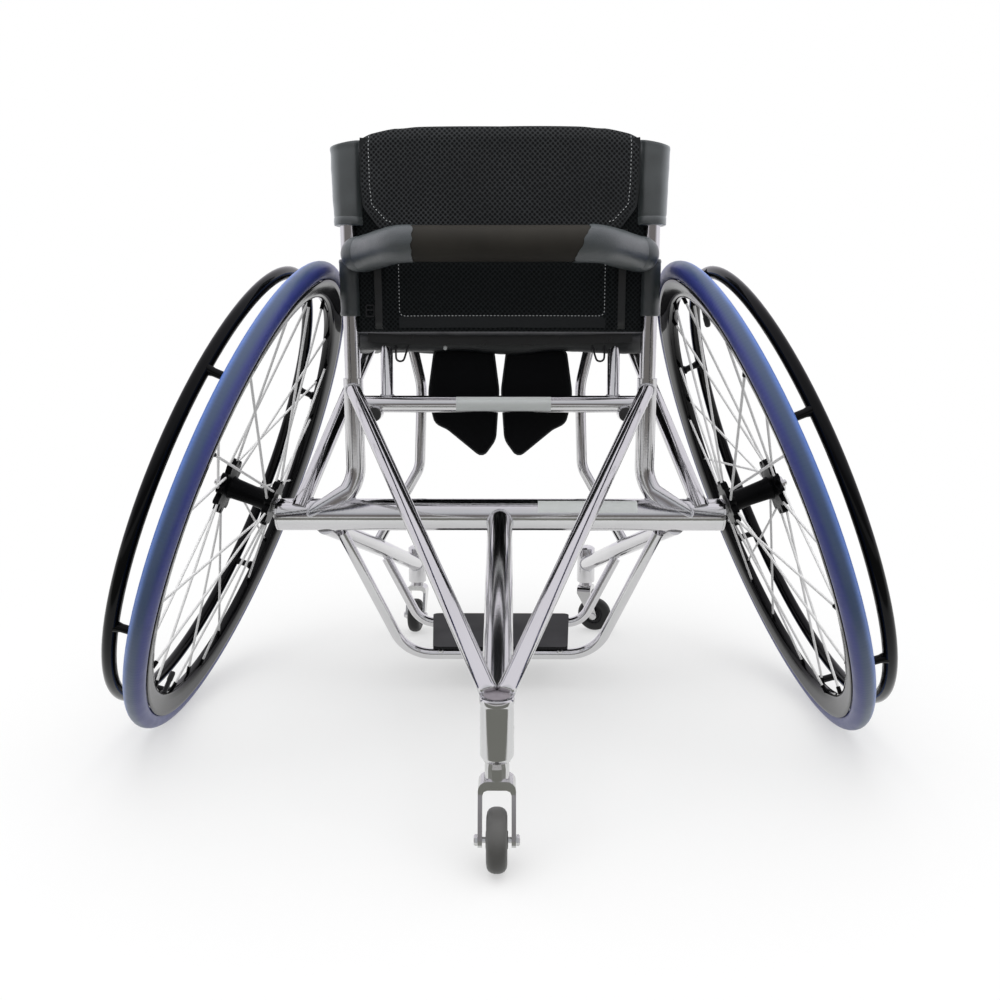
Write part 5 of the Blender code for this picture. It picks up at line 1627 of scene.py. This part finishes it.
class CHAIR_OT_hubs(bpy.types.Operator):
    """Fit the hub shells, spokes and nipples"""

    bl_idname = "chair.hubs"
    bl_label = "Hubs and spokes"

    def execute(self, context):
        for side_name in SIDES:
            build_hub(side_name, context.scene.chair)
        return {"FINISHED"}


class CHAIR_OT_casters(bpy.types.Operator):
    """Fit the caster wheels"""

    bl_idname = "chair.casters"
    bl_label = "Caster wheels"

    def execute(self, context):
        for side_name in SIDES:
            caster_tyre(f"caster_{side_name}", f"caster_roll_{side_name}", f"caster_wheel_{side_name}",
                        f"caster_{side_name}_wheel", CASTER_WHEEL_R)
        caster_tyre("antitip", "antitip_roll", "antitip_caster_wheel", "antitip_wheel", ANTITIP_WHEEL_R,
                    "roller")
        return {"FINISHED"}


class CHAIR_OT_frame(bpy.types.Operator):
    """Run smooth tubes and weld beads through the frame, and fix its bare plates"""

    bl_idname = "chair.frame"
    bl_label = "Frame tubes"

    def execute(self, context):
        build_tubes(context.scene.chair)
        build_housings()
        build_labels()
        return {"FINISHED"}


class CHAIR_OT_back(bpy.types.Operator):
    """Hang the back panel and its cover"""

    bl_idname = "chair.back"
    bl_label = "Back panels"

    def execute(self, context):
        build_back_pad()
        build_back_cover()
        return {"FINISHED"}


class CHAIR_OT_posts(bpy.types.Operator):
    """Fit the post pads, the lower sleeves and the grab bar"""

    bl_idname = "chair.posts"
    bl_label = "Post pads and grab bar"

    def execute(self, context):
        for side_name, side in SIDES.items():
            build_post_pad(side_name, side)
            build_post_wrap(side_name, side)
        build_grab_bar()
        return {"FINISHED"}


class CHAIR_OT_seat(bpy.types.Operator):
    """Stretch the seat sling and hang the leg flaps"""

    bl_idname = "chair.seat"
    bl_label = "Seat and flaps"

    def execute(self, context):
        build_seat()
        build_flaps()
        return {"FINISHED"}


class CHAIR_OT_trim(bpy.types.Operator):
    """Add stitches, screws, plugs and straps"""

    bl_idname = "chair.trim"
    bl_label = "Trim"

    def execute(self, context):
        build_stitches(context.scene.chair)
        build_fasteners()
        build_small_straps()
        return {"FINISHED"}


class CHAIR_OT_stage(bpy.types.Operator):
    """Set the camera, the lamps, the floor and the studio"""

    bl_idname = "chair.stage"
    bl_label = "Stage"

    def execute(self, context):
        build_stage(context.scene.chair)
        return {"FINISHED"}


OPERATORS = (CHAIR_OT_materials, CHAIR_OT_tyres, CHAIR_OT_rims, CHAIR_OT_hubs, CHAIR_OT_casters,
             CHAIR_OT_frame, CHAIR_OT_back, CHAIR_OT_posts, CHAIR_OT_seat, CHAIR_OT_trim, CHAIR_OT_stage)


class CHAIR_PT_panel(bpy.types.Panel):
    """The steps that dress the chair, in order"""

    bl_label = "Court Chair"
    bl_idname = "CHAIR_PT_panel"
    bl_space_type = "VIEW_3D"
    bl_region_type = "UI"
    bl_category = "Court Chair"

    def draw(self, context):
        """A button for each step."""
        for operator in OPERATORS:
            self.layout.operator(operator.bl_idname)


CLASSES = (ChairSettings, *OPERATORS, CHAIR_PT_panel)


def register():
    """Adds the classes and the scene's settings."""
    for item in CLASSES:
        bpy.utils.register_class(item)
    bpy.types.Scene.chair = PointerProperty(type=ChairSettings)


def unregister():
    """Takes the settings and the classes out again."""
    del bpy.types.Scene.chair
    for item in reversed(CLASSES):
        bpy.utils.unregister_class(item)


def main():
    """Runs every step in order."""
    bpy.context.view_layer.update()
    register()
    for operator in OPERATORS:
        group, name = operator.bl_idname.split(".")
        getattr(getattr(bpy.ops, group), name)()


if __name__ == "__main__":
    main()
